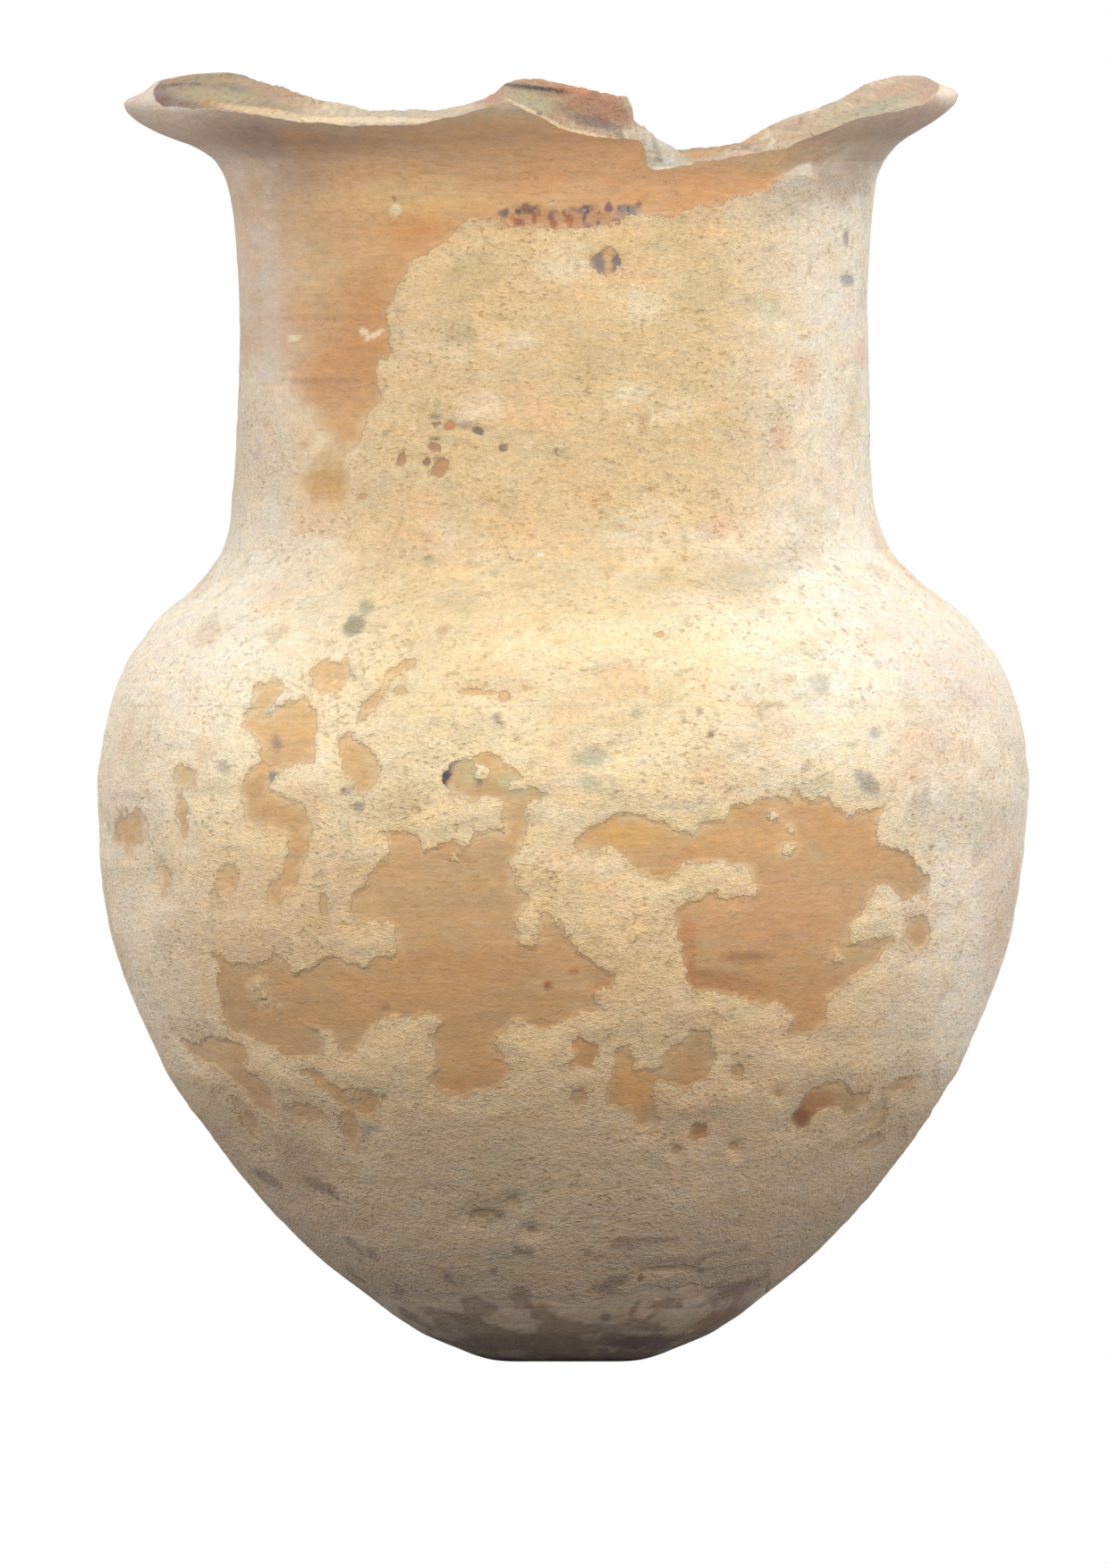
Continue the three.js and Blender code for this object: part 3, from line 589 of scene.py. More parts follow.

# Stains and patches of painted light and shade on the front: across, up, half width, half height, turn in
# degrees, colour, and then the strength, how soft the edge is and how ragged, as far as these aren't as usual
STROKES: tuple[Mark, ...] = (
    # What is left of the painted strokes, above the crust and inside the window
    (-15.5, 303.8, 1.3, 1.1, 0, (92, 88, 96), 0.95), (-16.2, 306, 0.4, 0.4, 0, PAINT_GREY, 0.6),
    (-11.7, 304.1, 0.75, 0.7, 0, (84, 76, 78), 0.95), (-10, 305.8, 0.75, 0.6, 0, (124, 90, 78), 0.9),
    (-9.5, 304.5, 1.4, 0.9, -8, (122, 96, 86), 0.95), (-7.2, 305.2, 0.5, 0.3, 20, (100, 80, 70), 0.8),
    (-13.3, 302.3, 0.6, 1.2, 0, (176, 116, 92), 0.7), (-11.7, 301.2, 1.4, 0.8, -6, (154, 92, 82), 0.9),
    (-6.9, 303.2, 1.1, 0.4, 6, (168, 106, 80), 0.8), (-7.5, 302, 0.5, 1.4, 0, (158, 96, 78), 0.85),
    (-2.4, 303.8, 1.3, 0.45, 0, (132, 116, 96), 0.8), (-3.1, 302.6, 0.75, 0.9, 0, (142, 98, 88), 0.9),
    (-2.4, 300.8, 0.95, 1.2, -16, (156, 98, 82), 0.9), (0.4, 304, 0.5, 0.5, 0, (110, 90, 80), 0.8),
    (1.7, 302.5, 0.9, 0.8, -10, (156, 92, 76), 0.9), (2.1, 300.8, 0.55, 1.8, 0, (168, 110, 84), 0.8),
    (0.7, 303, 0.4, 0.7, 10, (150, 96, 80), 0.7), (3.4, 304.7, 1, 0.7, 0, (162, 110, 92), 0.8),
    (5.7, 304.5, 1.3, 1, 0, (98, 84, 90), 0.95), (5.5, 304.3, 0.5, 0.5, 0, (172, 162, 168), 0.9),
    (7.2, 305.4, 1.2, 0.3, 0, (108, 88, 80), 0.8), (5.8, 302.9, 0.45, 0.9, 0, (104, 88, 86), 0.85),
    (5.6, 301.2, 0.35, 1, 0, (138, 112, 104), 0.7), (6.6, 299.8, 1.1, 0.7, 0, (140, 112, 116), 0.85),
    (9.4, 300.7, 0.4, 1.2, 0, (112, 90, 88), 0.9), (10.2, 300, 0.7, 0.7, 0, (164, 138, 128), 0.7),
    (9.5, 304, 0.45, 0.3, 0, (100, 84, 80), 0.8), (12.2, 306.4, 0.4, 0.6, 0, (120, 90, 100), 0.8),
    (12.2, 305.1, 0.9, 1.1, 0, (128, 88, 106), 0.9), (15.2, 305.2, 0.4, 0.8, 0, (86, 80, 88), 0.9),
    (16, 304.7, 0.7, 1.1, 0, (146, 132, 130), 0.85), (14.2, 301.6, 1, 0.8, 0, (146, 102, 100), 0.85),
    (14.2, 302.9, 1.1, 0.6, 0, (184, 158, 134), 0.6), (17.5, 304.7, 0.4, 0.9, 10, (90, 80, 82), 0.9),
    (18.7, 304.3, 1.1, 1.1, 0, (138, 128, 126), 0.85), (18.2, 303, 0.7, 0.4, 0, (108, 90, 106), 0.8),
    (20.2, 306.2, 0.6, 0.8, -20, (98, 82, 84), 0.85), (25.8, 304.5, 1.5, 0.6, 0, (172, 148, 120), 0.5),
    (30.1, 308.8, 0.45, 0.4, 0, (90, 64, 60), 0.85), (32.1, 304.8, 0.4, 0.3, 0, (110, 84, 70), 0.7),
    (-2.8, 306.9, 0.5, 0.25, 0, (96, 80, 64), 0.8), (-2.7, 306.4, 0.7, 0.3, 0, (226, 206, 170), 0.5),
    (9.4, 290.8, 1.3, 4.5, 2, (132, 120, 118), 0.9), (14.4, 290.8, 1, 4.5, -2, (130, 112, 116), 0.9),
)

STROKE_SPREAD: tuple[float, ...] = (1, 1, 1.18, 1.12, 1)
STROKE_EDGE: Pair = (0.4, 0.5)
STROKE_STAINS: tuple[Mark, ...] = tuple(
    (*(number * spread for number, spread in zip(stroke, STROKE_SPREAD)), *stroke[5:], *STROKE_EDGE)
    for stroke in STROKES
)

CLAY_STAINS_AND_PAINTED_LIGHT: tuple[Mark, ...] = (
    # Under the flare and along the break; the grey ones at its left and right ends are painted shade under
    # the flare's overhang
    (-80, 323, 7, 4.2, -22, (150, 128, 122), 0.6, 0.5), (-56, 321.4, 11, 2.4, -4, PURPLE_GREY, 0.4, 0.5),
    (-72, 311, 11, 6, 20, (160, 140, 122), 0.45, 0.6), (-7, 313, 0.8, 0.8, 0, UMBER, 0.5),
    (14, 323, 34, 7, 2, (232, 178, 126), 0.7, 0.6), (-34, 322, 26, 6, 4, (216, 172, 126), 0.6, 0.6),
    (88, 322, 15, 8, 28, (182, 157, 138), 0.75, 0.5), (98, 328, 8, 6, 20, (190, 158, 136), 0.5, 0.6),
    (94, 322, 9, 5, 40, (176, 150, 134), 0.5, 0.5, 0.6),
    (79, 319.5, 12, 6, 30, (174, 152, 130), 0.75, 0.5, 0.6),
    (-88, 325, 13, 4, -22, (176, 150, 130), 0.5, 0.6),
    # A blush of worn paint round the strokes
    (2, 302.6, 19, 2.6, 0, (158, 110, 88), 0.45, 0.6, 0.7),
    (-9, 305, 3.4, 1, -4, (118, 92, 84), 0.5, 0.5, 0.7),
    (5.6, 304.6, 3, 0.9, 0, (120, 94, 92), 0.5, 0.5, 0.7),
    (17.6, 304.6, 3, 1.2, 0, (132, 118, 116), 0.5, 0.5, 0.7),
    # These two, on the top of the lip at its left and right ends, are painted highlight
    (-104, 331, 8, 8, 0, (216, 196, 174), 0.6, 0.6), (104, 336, 5, 4, 0, (240, 224, 202), 0.8, 0.5),
    *STROKE_STAINS,
    # Colours in the neck's bare clay
    (-46, 306, 24, 4, 0, (214, 178, 122), 0.6, 0.6), (-38, 297, 12, 5, -20, (198, 144, 96), 0.6, 0.6),
    (-52, 279, 12, 8, 60, (190, 140, 94), 0.6, 0.6), (-55, 262, 11, 7, 30, (188, 138, 92), 0.6, 0.6),
    (-63, 232, 5.6, 4.4, 0, (186, 150, 98), 0.75, 0.5, 0.5),
    (-66, 300, 14, 10, 10, (186, 156, 124), 0.45, 0.7), (-44, 304.4, 1.7, 1.5, 0, (222, 208, 178), 0.85),
    (10, 312, 34, 5, 0, (208, 156, 110), 0.5, 0.6), (-44.6, 307.6, 0.5, 1, 20, UMBER, 0.5),
    (40, 309, 18, 5, 8, (208, 154, 108), 0.6, 0.6), (-52.5, 272.3, 1.6, 0.8, -40, (226, 208, 176)),
    (-49.8, 271.4, 2.6, 0.7, 28, (228, 210, 178), 0.85), (-71, 270.6, 1.7, 0.9, 10, (226, 208, 176)),
    (-60, 276.2, 17, 0.6, 1, (172, 130, 96), 0.5), (-62, 259.4, 13, 0.6, 0, (166, 124, 92), 0.5),
    # The first stain on the next line, pale grey along the neck's left side, is painted sheen
    (-78, 281, 3, 30, 0, (206, 196, 186), 0.4, 0.7), (-33.4, 248.3, 2, 1.5, 0, (166, 126, 98), 0.9),
    (-29.9, 247.4, 1.9, 1.4, 0, (198, 134, 94), 0.9), (-33.4, 242, 2.2, 2.1, 0, (178, 134, 98), 0.9),
    (-31.9, 236.4, 2.6, 2.9, -20, (180, 136, 98), 0.9), (-35.7, 237.8, 1.6, 1.6, 0, (142, 120, 92), 0.9),
    (-42.4, 238.8, 1.6, 2.2, 0, (170, 130, 96), 0.9), (-15.9, 241.5, 1.8, 1.4, 0, (140, 118, 106), 0.9),
    (-22, 245.9, 2, 1.2, -20, (122, 108, 102), 0.9),
    # Stains in the body's bare stretches
    (-32.3, 153.4, 2.2, 4.2, -28, (66, 62, 84), 0.95, 0.3, 0.4), (-29, 158, 2.4, 1, 40, SLATE, 0.7),
    (-76.4, 154.6, 1.4, 1.4, 0, SLATE), (-75.5, 163.4, 1.4, 2.4, 20, PURPLE_GREY, 0.6),
    (-24.6, 156.4, 3, 4, -18, (190, 178, 136), 0.7), (-13, 153, 4.4, 2.2, -20, (190, 184, 144), 0.75),
    (-22, 154, 1, 2, 0, SLATE, 0.7), (-5, 149.6, 2.4, 1, -10, GREY_GREEN, 0.5),
    (11, 98, 4, 2.4, -20, RUST, 0.5), (3, 103, 1.2, 0.6, 0, (150, 70, 44), 0.85),
    (-4, 99.4, 1.2, 0.8, 0, (150, 78, 50)), (6, 108.6, 2.6, 1, 10, SLATE, 0.7),
    (-46.6, 93.6, 1.4, 1, 0, UMBER, 0.7), (-41.4, 91.6, 1.8, 1, 0, SLATE, 0.6),
    (78, 114, 2.2, 1.2, 30, UMBER, 0.7), (40, 101, 14, 2.6, -8, (172, 122, 80), 0.6),
    (33, 110, 2.4, 9, 6, (186, 118, 78), 0.5), (56, 118, 20, 10, 0, (204, 150, 108), 0.5, 0.6),
    (17, 139.6, 9, 3.2, -5, (210, 160, 92), 0.7), (48, 107, 7, 1.6, 0, (136, 96, 68), 0.5),
    (62, 141, 14, 5, 0, (206, 160, 112), 0.5, 0.6), (78, 135, 10, 7, 10, (200, 150, 102), 0.4, 0.6),
    (-34, 125, 16, 10, 0, (190, 158, 118), 0.5, 0.7), (-20, 133, 14, 4, 0, (182, 156, 120), 0.4, 0.7),
    (-10, 106, 30, 5, 0, (198, 146, 100), 0.55, 0.7), (-50, 96, 24, 7, 0, (196, 152, 104), 0.5, 0.7),
    (-26, 80, 12, 9, 0, (190, 148, 100), 0.5, 0.7), (66, 68, 6, 3, 20, (170, 116, 72), 0.75),
    (63, 64.6, 2.4, 2.4, 40, (128, 76, 50)), (36, 61, 2.5, 2.2, 10, (152, 108, 74), 0.7),
    (57, 71, 1.2, 1.2, 0, (210, 140, 80)), (7, 80, 3, 3.4, 0, (178, 134, 88), 0.6),
    (46, 77, 2, 1.6, 0, (184, 150, 112), 0.7), (18, 74, 5, 6, 0, (204, 156, 94), 0.6, 0.6),
)

CRUST_STAINS_AND_PAINTED_LIGHT: tuple[Mark, ...] = (
    # Neck
    (48, 206, 10, 5, 10, (176, 162, 126), 0.45, 0.6), (26, 205, 9, 3, 0, (190, 174, 134), 0.4, 0.6),
    (60, 213, 7, 4, 20, (178, 162, 130), 0.4, 0.6), (-27, 271, 4.5, 3, 20, (186, 166, 128), 0.55),
    (8, 265, 7, 7, 0, (196, 176, 136), 0.5, 0.6), (38, 283, 8, 7, 0, (200, 180, 138), 0.35, 0.6),
    (-46, 232, 10, 5, 20, (196, 182, 150), 0.4, 0.6), (57, 244, 3, 4, 0, ROSE, 0.55),
    (63, 262, 3.4, 4, 0, ROSE, 0.6), (79, 267, 3, 4, 0, (240, 196, 176), 0.6),
    (41, 221, 4, 3, 0, ROSE, 0.4), (-28, 214, 8, 4, 0, (226, 190, 150), 0.4, 0.6),
    (20, 214, 5, 2.6, 0, (226, 188, 146), 0.4, 0.6), (35, 242, 3, 2, 0, ROSE, 0.3),
    (74, 286, 1.7, 1.8, 0, SLATE, 0.6), (73.8, 297, 0.7, 2.4, 0, SLATE, 0.6),
    # The first two on the next line, near-white towards the neck's right side, are painted sheen
    (73, 277, 3.4, 7, 0, (244, 232, 214), 0.6, 0.6), (66, 252, 8, 16, 0, (240, 226, 200), 0.35, 0.6),
    (54, 274, 6, 2.6, -30, (238, 226, 190), 0.5, 0.6), (21, 248, 1.6, 3, -10, (188, 150, 104), 0.5),
    # The two greyish ones on the next line, just under the flare at the right, are painted shade under its
    # overhang
    (60, 309, 8, 5, 30, (176, 160, 134), 0.5, 0.6), (74, 314, 9, 7, 20, (180, 160, 138), 0.75, 0.6),
    (-2, 301, 14, 1.2, 0, (176, 128, 96), 0.5), (-26, 247.6, 5.6, 0.9, -8, SLATE, 0.45),
    (-15.9, 242.4, 1.6, 0.5, 0, SLATE, 0.7), (-33.6, 243.9, 1.6, 0.4, 0, UMBER, 0.6),
    (-32.6, 239, 1.9, 0.4, -10, UMBER, 0.6), (-42.2, 240.6, 0.9, 0.4, 20, UMBER, 0.6),
    (-33.4, 249.8, 1.6, 0.4, 0, SLATE, 0.7), (-46, 245.2, 1.2, 1, 0, GREY_GREEN, 0.7),
    (-33, 252.8, 1.2, 1.2, 0, GREY_GREEN, 0.6), (-1.9, 241.1, 0.5, 0.3, 0, UMBER),
    (-63.4, 219, 0.8, 0.7, 0, PURPLE_GREY, 0.6), (-8, 246.4, 9, 0.5, 0, PURPLE_GREY, 0.3),
    (-5.5, 213, 1, 0.5, 0, CHALK, 0.9),
    # Shoulder
    (-54.6, 194, 3.2, 2.4, 30, (150, 142, 116), 0.85), (-51.6, 198.4, 1.8, 2, 30, GREY_GREEN),
    (-75, 192, 3.6, 2, 20, (214, 190, 160), 0.6), (-35, 211, 1.8, 1.4, 0, GREY_GREEN, 0.6),
    (-18, 208, 1.4, 1, 0, GREY_GREEN, 0.5), (-31, 193, 2, 1, 20, (206, 158, 116), 0.6),
    (-28.6, 181.6, 2, 0.7, 0, GREY_GREEN, 0.6), (-17, 170, 1.4, 1.4, 0, SLATE, 0.55),
    (68, 179, 3, 3, 0, GREY_GREEN, 0.45), (73, 178.6, 3.4, 3, 0, CHALK, 0.7),
    (55.5, 173.8, 2.4, 1, 0, GREY_GREEN, 0.5), (19, 171, 1.6, 1.6, 0, GREY_GREEN, 0.5),
    (35.8, 171.6, 1, 1, 0, SLATE, 0.5), (38.8, 165.6, 0.9, 0.9, 0, UMBER),
    (82, 166, 1.5, 1.5, 0, SLATE, 0.4), (76, 163, 1.5, 1, 0, GREY_GREEN, 0.5),
    # The four pale ones on the next two lines are painted highlight on the shoulder, which faces up, and
    # painted sheen at its sides
    (90, 191, 18, 9, -35, (244, 224, 206), 0.4, 0.6), (104, 178, 12, 9, -50, (240, 216, 200), 0.5, 0.6),
    (-104, 181, 12, 9, 40, (246, 228, 204), 0.4, 0.6), (30, 190, 40, 7, 0, (250, 240, 200), 0.3),
    # Belly
    (8, 160, 5, 2.6, 10, (178, 174, 148), 0.6), (7, 153, 3.6, 2.4, -10, (186, 180, 152), 0.6),
    (13, 151, 3, 2, 0, (190, 180, 150), 0.5), (66, 152, 5, 2.4, 10, (206, 196, 164), 0.6),
    (80, 153, 2, 4.6, 40, (156, 148, 136), 0.7), (93, 147.6, 3, 3, 0, (176, 168, 150), 0.5),
    # The pale one at 116 across on the next line and the one at -110 on the line after are painted sheen
    # towards the belly's sides
    (105, 143, 14, 7, 0, (206, 192, 164), 0.45, 0.6), (116, 118, 7, 20, 0, (226, 192, 168), 0.5, 0.6),
    (-110, 158, 9, 13, 0, (230, 202, 166), 0.35, 0.6), (-108, 134, 12, 9, 0, (206, 186, 148), 0.4, 0.6),
    (-55, 148, 4, 8, 0, (198, 184, 150), 0.4, 0.6), (-44, 147, 6, 5, 0, (210, 186, 140), 0.5, 0.6),
    (-66, 119, 24, 15, 0, (208, 174, 136), 0.5, 0.7), (-90, 108, 14, 18, 0, (208, 182, 150), 0.35, 0.7),
    (-53.6, 146.6, 1.4, 1.4, 0, SLATE, 0.6), (-57, 151, 1.2, 1.2, 0, SLATE, 0.5),
    (-89, 157, 2, 1.4, 0, SLATE, 0.4), (-59, 128, 6, 3, -30, (232, 196, 160), 0.5, 0.6),
    (45, 125, 8, 3, -25, (230, 190, 152), 0.5, 0.6), (84, 119, 6, 6, 0, (232, 214, 176), 0.4, 0.6),
    # Flank and foot
    (-77, 49, 5, 1.3, -32, UMBER, 0.6), (-63, 47, 5.4, 1.5, -28, (120, 88, 68), 0.6),
    (-70, 55, 8, 5, -40, (146, 122, 98), 0.4, 0.6), (-20, 39, 4.4, 1.9, 0, (104, 92, 70), 0.6),
    (40, 33, 24, 9, 8, (158, 140, 112), 0.25, 0.7), (-16, 29, 3.4, 1.1, -20, (160, 156, 136), 0.5),
    (-18, 24.5, 1.2, 0.9, 0, UMBER, 0.6), (-12.8, 42.6, 2.2, 1, 0, (120, 92, 62), 0.6),
    (-50, 62, 2.4, 1.2, 0, SLATE, 0.4), (26.6, 15.4, 3.6, 1.5, 8, (134, 106, 90), 0.8, 0.5, 0.5),
    (30.9, 15, 1.3, 1, 0, (136, 108, 92), 0.8, 0.4), (11.3, 11.6, 1.6, 1, 0, (128, 104, 96), 0.8, 0.4),
    (45.4, 18.6, 7.4, 2.8, 22, (142, 110, 94), 0.85, 0.5, 0.5),
    (42, 12, 9, 2, 27, (140, 102, 76), 0.8, 0.5, 0.5),
    (22.5, 9, 5.6, 1.2, 0, (132, 110, 94), 0.8, 0.5, 0.5),
    (21, 5.2, 9, 1.5, 4, (118, 98, 82), 0.8, 0.5, 0.5), (20.5, 22.4, 1, 0.9, 0, (134, 90, 66)),
    (-9, 14.6, 1.4, 0.9, 0, (126, 104, 88), 0.7), (36, 24.8, 3.4, 0.5, 4, (146, 118, 92), 0.6),
    (-30, 12, 8, 1.2, -14, (132, 112, 96), 0.6, 0.5, 0.5), (72, 88, 5, 2.4, 0, (188, 170, 140), 0.4),
    (90, 96, 8, 14, -20, (212, 186, 150), 0.3, 0.6),
)

FRACTURE_STAINS_AND_PAINTED_SHADE: tuple[Mark, ...] = (
    # Left end of the break
    (-92, 336, 24, 7, -6, (144, 125, 96), 0.8, 0.4), (-102, 333.6, 6.5, 2.8, -8, (138, 112, 98), 0.75, 0.5),
    (-106, 334.4, 2.6, 3.6, 20, (122, 94, 84), 0.85),
    (-103, 337.5, 3, 0.45, 6, (98, 80, 68), 0.85, 0.4, 0.7),
    (-97.6, 337.9, 2, 0.4, 0, (108, 96, 82), 0.75, 0.4, 0.7),
    (-86.6, 336.4, 2.8, 1.5, 0, (138, 132, 112), 0.7, 0.5), (-99, 340.2, 2.4, 0.7, 0, (190, 138, 100), 0.5),
    (-103.5, 339, 1.2, 0.8, 30, (184, 126, 92), 0.5), (-91, 332.6, 5, 0.8, -9, (190, 126, 82), 0.6),
    (-87, 338.8, 5, 0.7, -6, (192, 150, 126), 0.5), (-74, 329.6, 18, 1.1, -9, (216, 192, 148)),
    (-92, 334.8, 12, 1.6, -4, (176, 166, 134), 0.6, 0.6), (-76, 335.5, 10, 1.6, -20, (184, 152, 126), 0.5),
    # Middle band
    (-46, 331, 24, 4, 0, (202, 182, 158), 0.5, 0.6), (-52, 328.3, 18, 0.8, 0, (232, 212, 176), 0.7),
    (-17.6, 333.4, 3.2, 3.2, 50, (204, 144, 122)), (-22, 334.6, 2.4, 1, 20, (222, 206, 190), 0.6),
    # The spalled facet at the centre
    (-3, 333.6, 16, 8, -12, (172, 138, 108), 0.9, 0.4), (-5, 339.2, 9, 1.1, -5, (188, 142, 108)),
    # The near-black stain on the next line is painted shade in the groove across the facet, and the dull one
    # that starts the line after is painted shadow under the groove
    (-6.4, 336.7, 10.5, 0.55, -7, (66, 60, 62), 0.95, 0.5),
    (-7, 335.7, 8, 0.8, -8, (128, 118, 96), 0.6, 0.6), (-9, 333.4, 7, 2.2, -20, (168, 158, 126), 0.85),
    (8, 335.2, 8, 1.6, -12, (196, 142, 112)), (10, 331.4, 10, 3.4, -18, (158, 118, 94), 0.85),
    (9, 327.6, 7, 1.5, -14, (126, 106, 104), 0.75), (1, 330.8, 4, 1.6, -30, (148, 130, 108), 0.6),
    (-6.6, 329.7, 9, 0.6, -27, (220, 196, 152), 0.75), (9, 324.1, 12, 0.55, -12, (222, 198, 154), 0.75),
    (-6.4, 329.6, 1, 1, 0, (118, 110, 98)),
    # The step and the floor of the notch
    (24.6, 322, 2.6, 9, 34, (202, 192, 176), 0.85), (27, 317.6, 5, 3, -20, (184, 180, 162), 0.7),
    (25, 320, 0.9, 4.4, 18, (152, 146, 130), 0.7), (30, 314.8, 9, 0.8, -4, (234, 214, 188)),
    (20, 327.4, 0.6, 5, 8, (214, 188, 168), 0.7), (52, 318, 16, 2.4, 14, (198, 184, 164), 0.5, 0.6),
    (46, 319, 4, 1.2, 12, (220, 176, 156), 0.7),
    # Right band
    (78, 330, 18, 3.2, 22, (186, 168, 140), 0.7, 0.6), (86, 333, 13, 1.6, 22, (164, 160, 136), 0.7, 0.6),
    (92, 337.4, 10, 1.8, 14, (190, 154, 130), 0.75), (98, 335, 4, 4, 10, (184, 144, 116), 0.6, 0.5),
    (76, 325, 16, 0.8, 22, (220, 196, 150), 0.75), (99.6, 331.6, 3, 0.7, 24, (120, 96, 82), 0.6),
)


@dataclass(frozen=True)
class Mottle:
    """Cloudy patches of one colour, which may grow in over some heights."""

    colour: Colour
    strength: float
    size: float | Triple
    layers: int
    seed: int
    noise_span: Pair
    growing_in: Pair | None = None

    def over(self, colours: Numbers, points: Numbers) -> Numbers:
        """Lay the patches over colours: noise, eased over its span, times the strength."""
        noise = layered_noise(points, self.size, self.layers, self.seed)
        cover = unit_step(noise, *self.noise_span) * self.strength
        if self.growing_in:
            cover = cover * unit_step(points[:, 2], *self.growing_in)
        return tint_over(colours, self.colour, cover)


@dataclass(frozen=True)
class PaintedSideSheen:
    """Painted sheen and highlight: a pale tint that grows towards one side as seen from the front, between
    some heights.
    """

    colour: Colour
    strength: float
    across: Pair
    heights: tuple[Pair, ...]

    def over(self, colours: Numbers, points: Numbers) -> Numbers:
        """Lay the tint over colours: eased across, and eased in and out upwards."""
        cover = self.strength * unit_step(points[:, 0], *self.across)
        for step in self.heights:
            cover = cover * unit_step(points[:, 2], *step)
        return tint_over(colours, self.colour, cover)


CLAY_MOTTLES: tuple[Mottle, ...] = (
    Mottle((204, 146, 94), 0.45, (34, 34, 12), 3, 44, (0.0, 0.6), (30, 80)),
    Mottle((212, 186, 142), 0.35, (26, 26, 10), 4, 47, (0.1, 0.7), (20, 60)),
    Mottle((160, 138, 108), 0.3, (14, 14, 8), 3, 50, (0.2, 0.8)),
)
CRUST_MOTTLES: tuple[Mottle, ...] = (
    Mottle((184, 170, 130), 0.28, (13, 13, 8), 3, 64, (0.2, 0.75)),
    Mottle((228, 186, 148), 0.38, (19, 19, 12), 3, 67, (0.2, 0.75)),
    Mottle((248, 236, 208), 0.35, (20, 20, 9), 4, 72, (0.15, 0.8), (90, 170)),
    Mottle((168, 140, 102), 0.35, (4, 4, 2.4), 2, 70, (0.5, 0.95)),
)
FRACTURE_MOTTLES: tuple[Mottle, ...] = (
    Mottle((176, 168, 138), 0.5, 9, 3, 81, (0, 0.7)),
    Mottle((200, 150, 122), 0.5, 7, 3, 84, (0.2, 0.8)),
    Mottle((122, 110, 94), 0.55, 3, 3, 87, (0.15, 0.8)),
    Mottle((230, 214, 182), 0.5, 2.4, 2, 89, (0.25, 0.8)),
)
# Painted sheen and highlight: pale tints towards the jar's left and right sides as seen from the front, on
# the shoulder and the belly
PAINTED_SIDE_SHEEN: tuple[PaintedSideSheen, ...] = (
    PaintedSideSheen((255, 247, 231), 0.75, (34, 84), ((180, 230),)),
    PaintedSideSheen((222, 208, 190), 0.7, (-50, -84), ((180, 220),)),
    PaintedSideSheen((254, 246, 228), 0.75, (-40, -100), ((140, 190), (232, 205))),
    PaintedSideSheen((254, 246, 228), 0.8, (26, 74), ((140, 190), (232, 205))),
    PaintedSideSheen((250, 236, 216), 0.6, (-84, -116), ((60, 90), (180, 150))),
    PaintedSideSheen((250, 236, 216), 0.85, (70, 112), ((60, 90), (180, 150))),
)


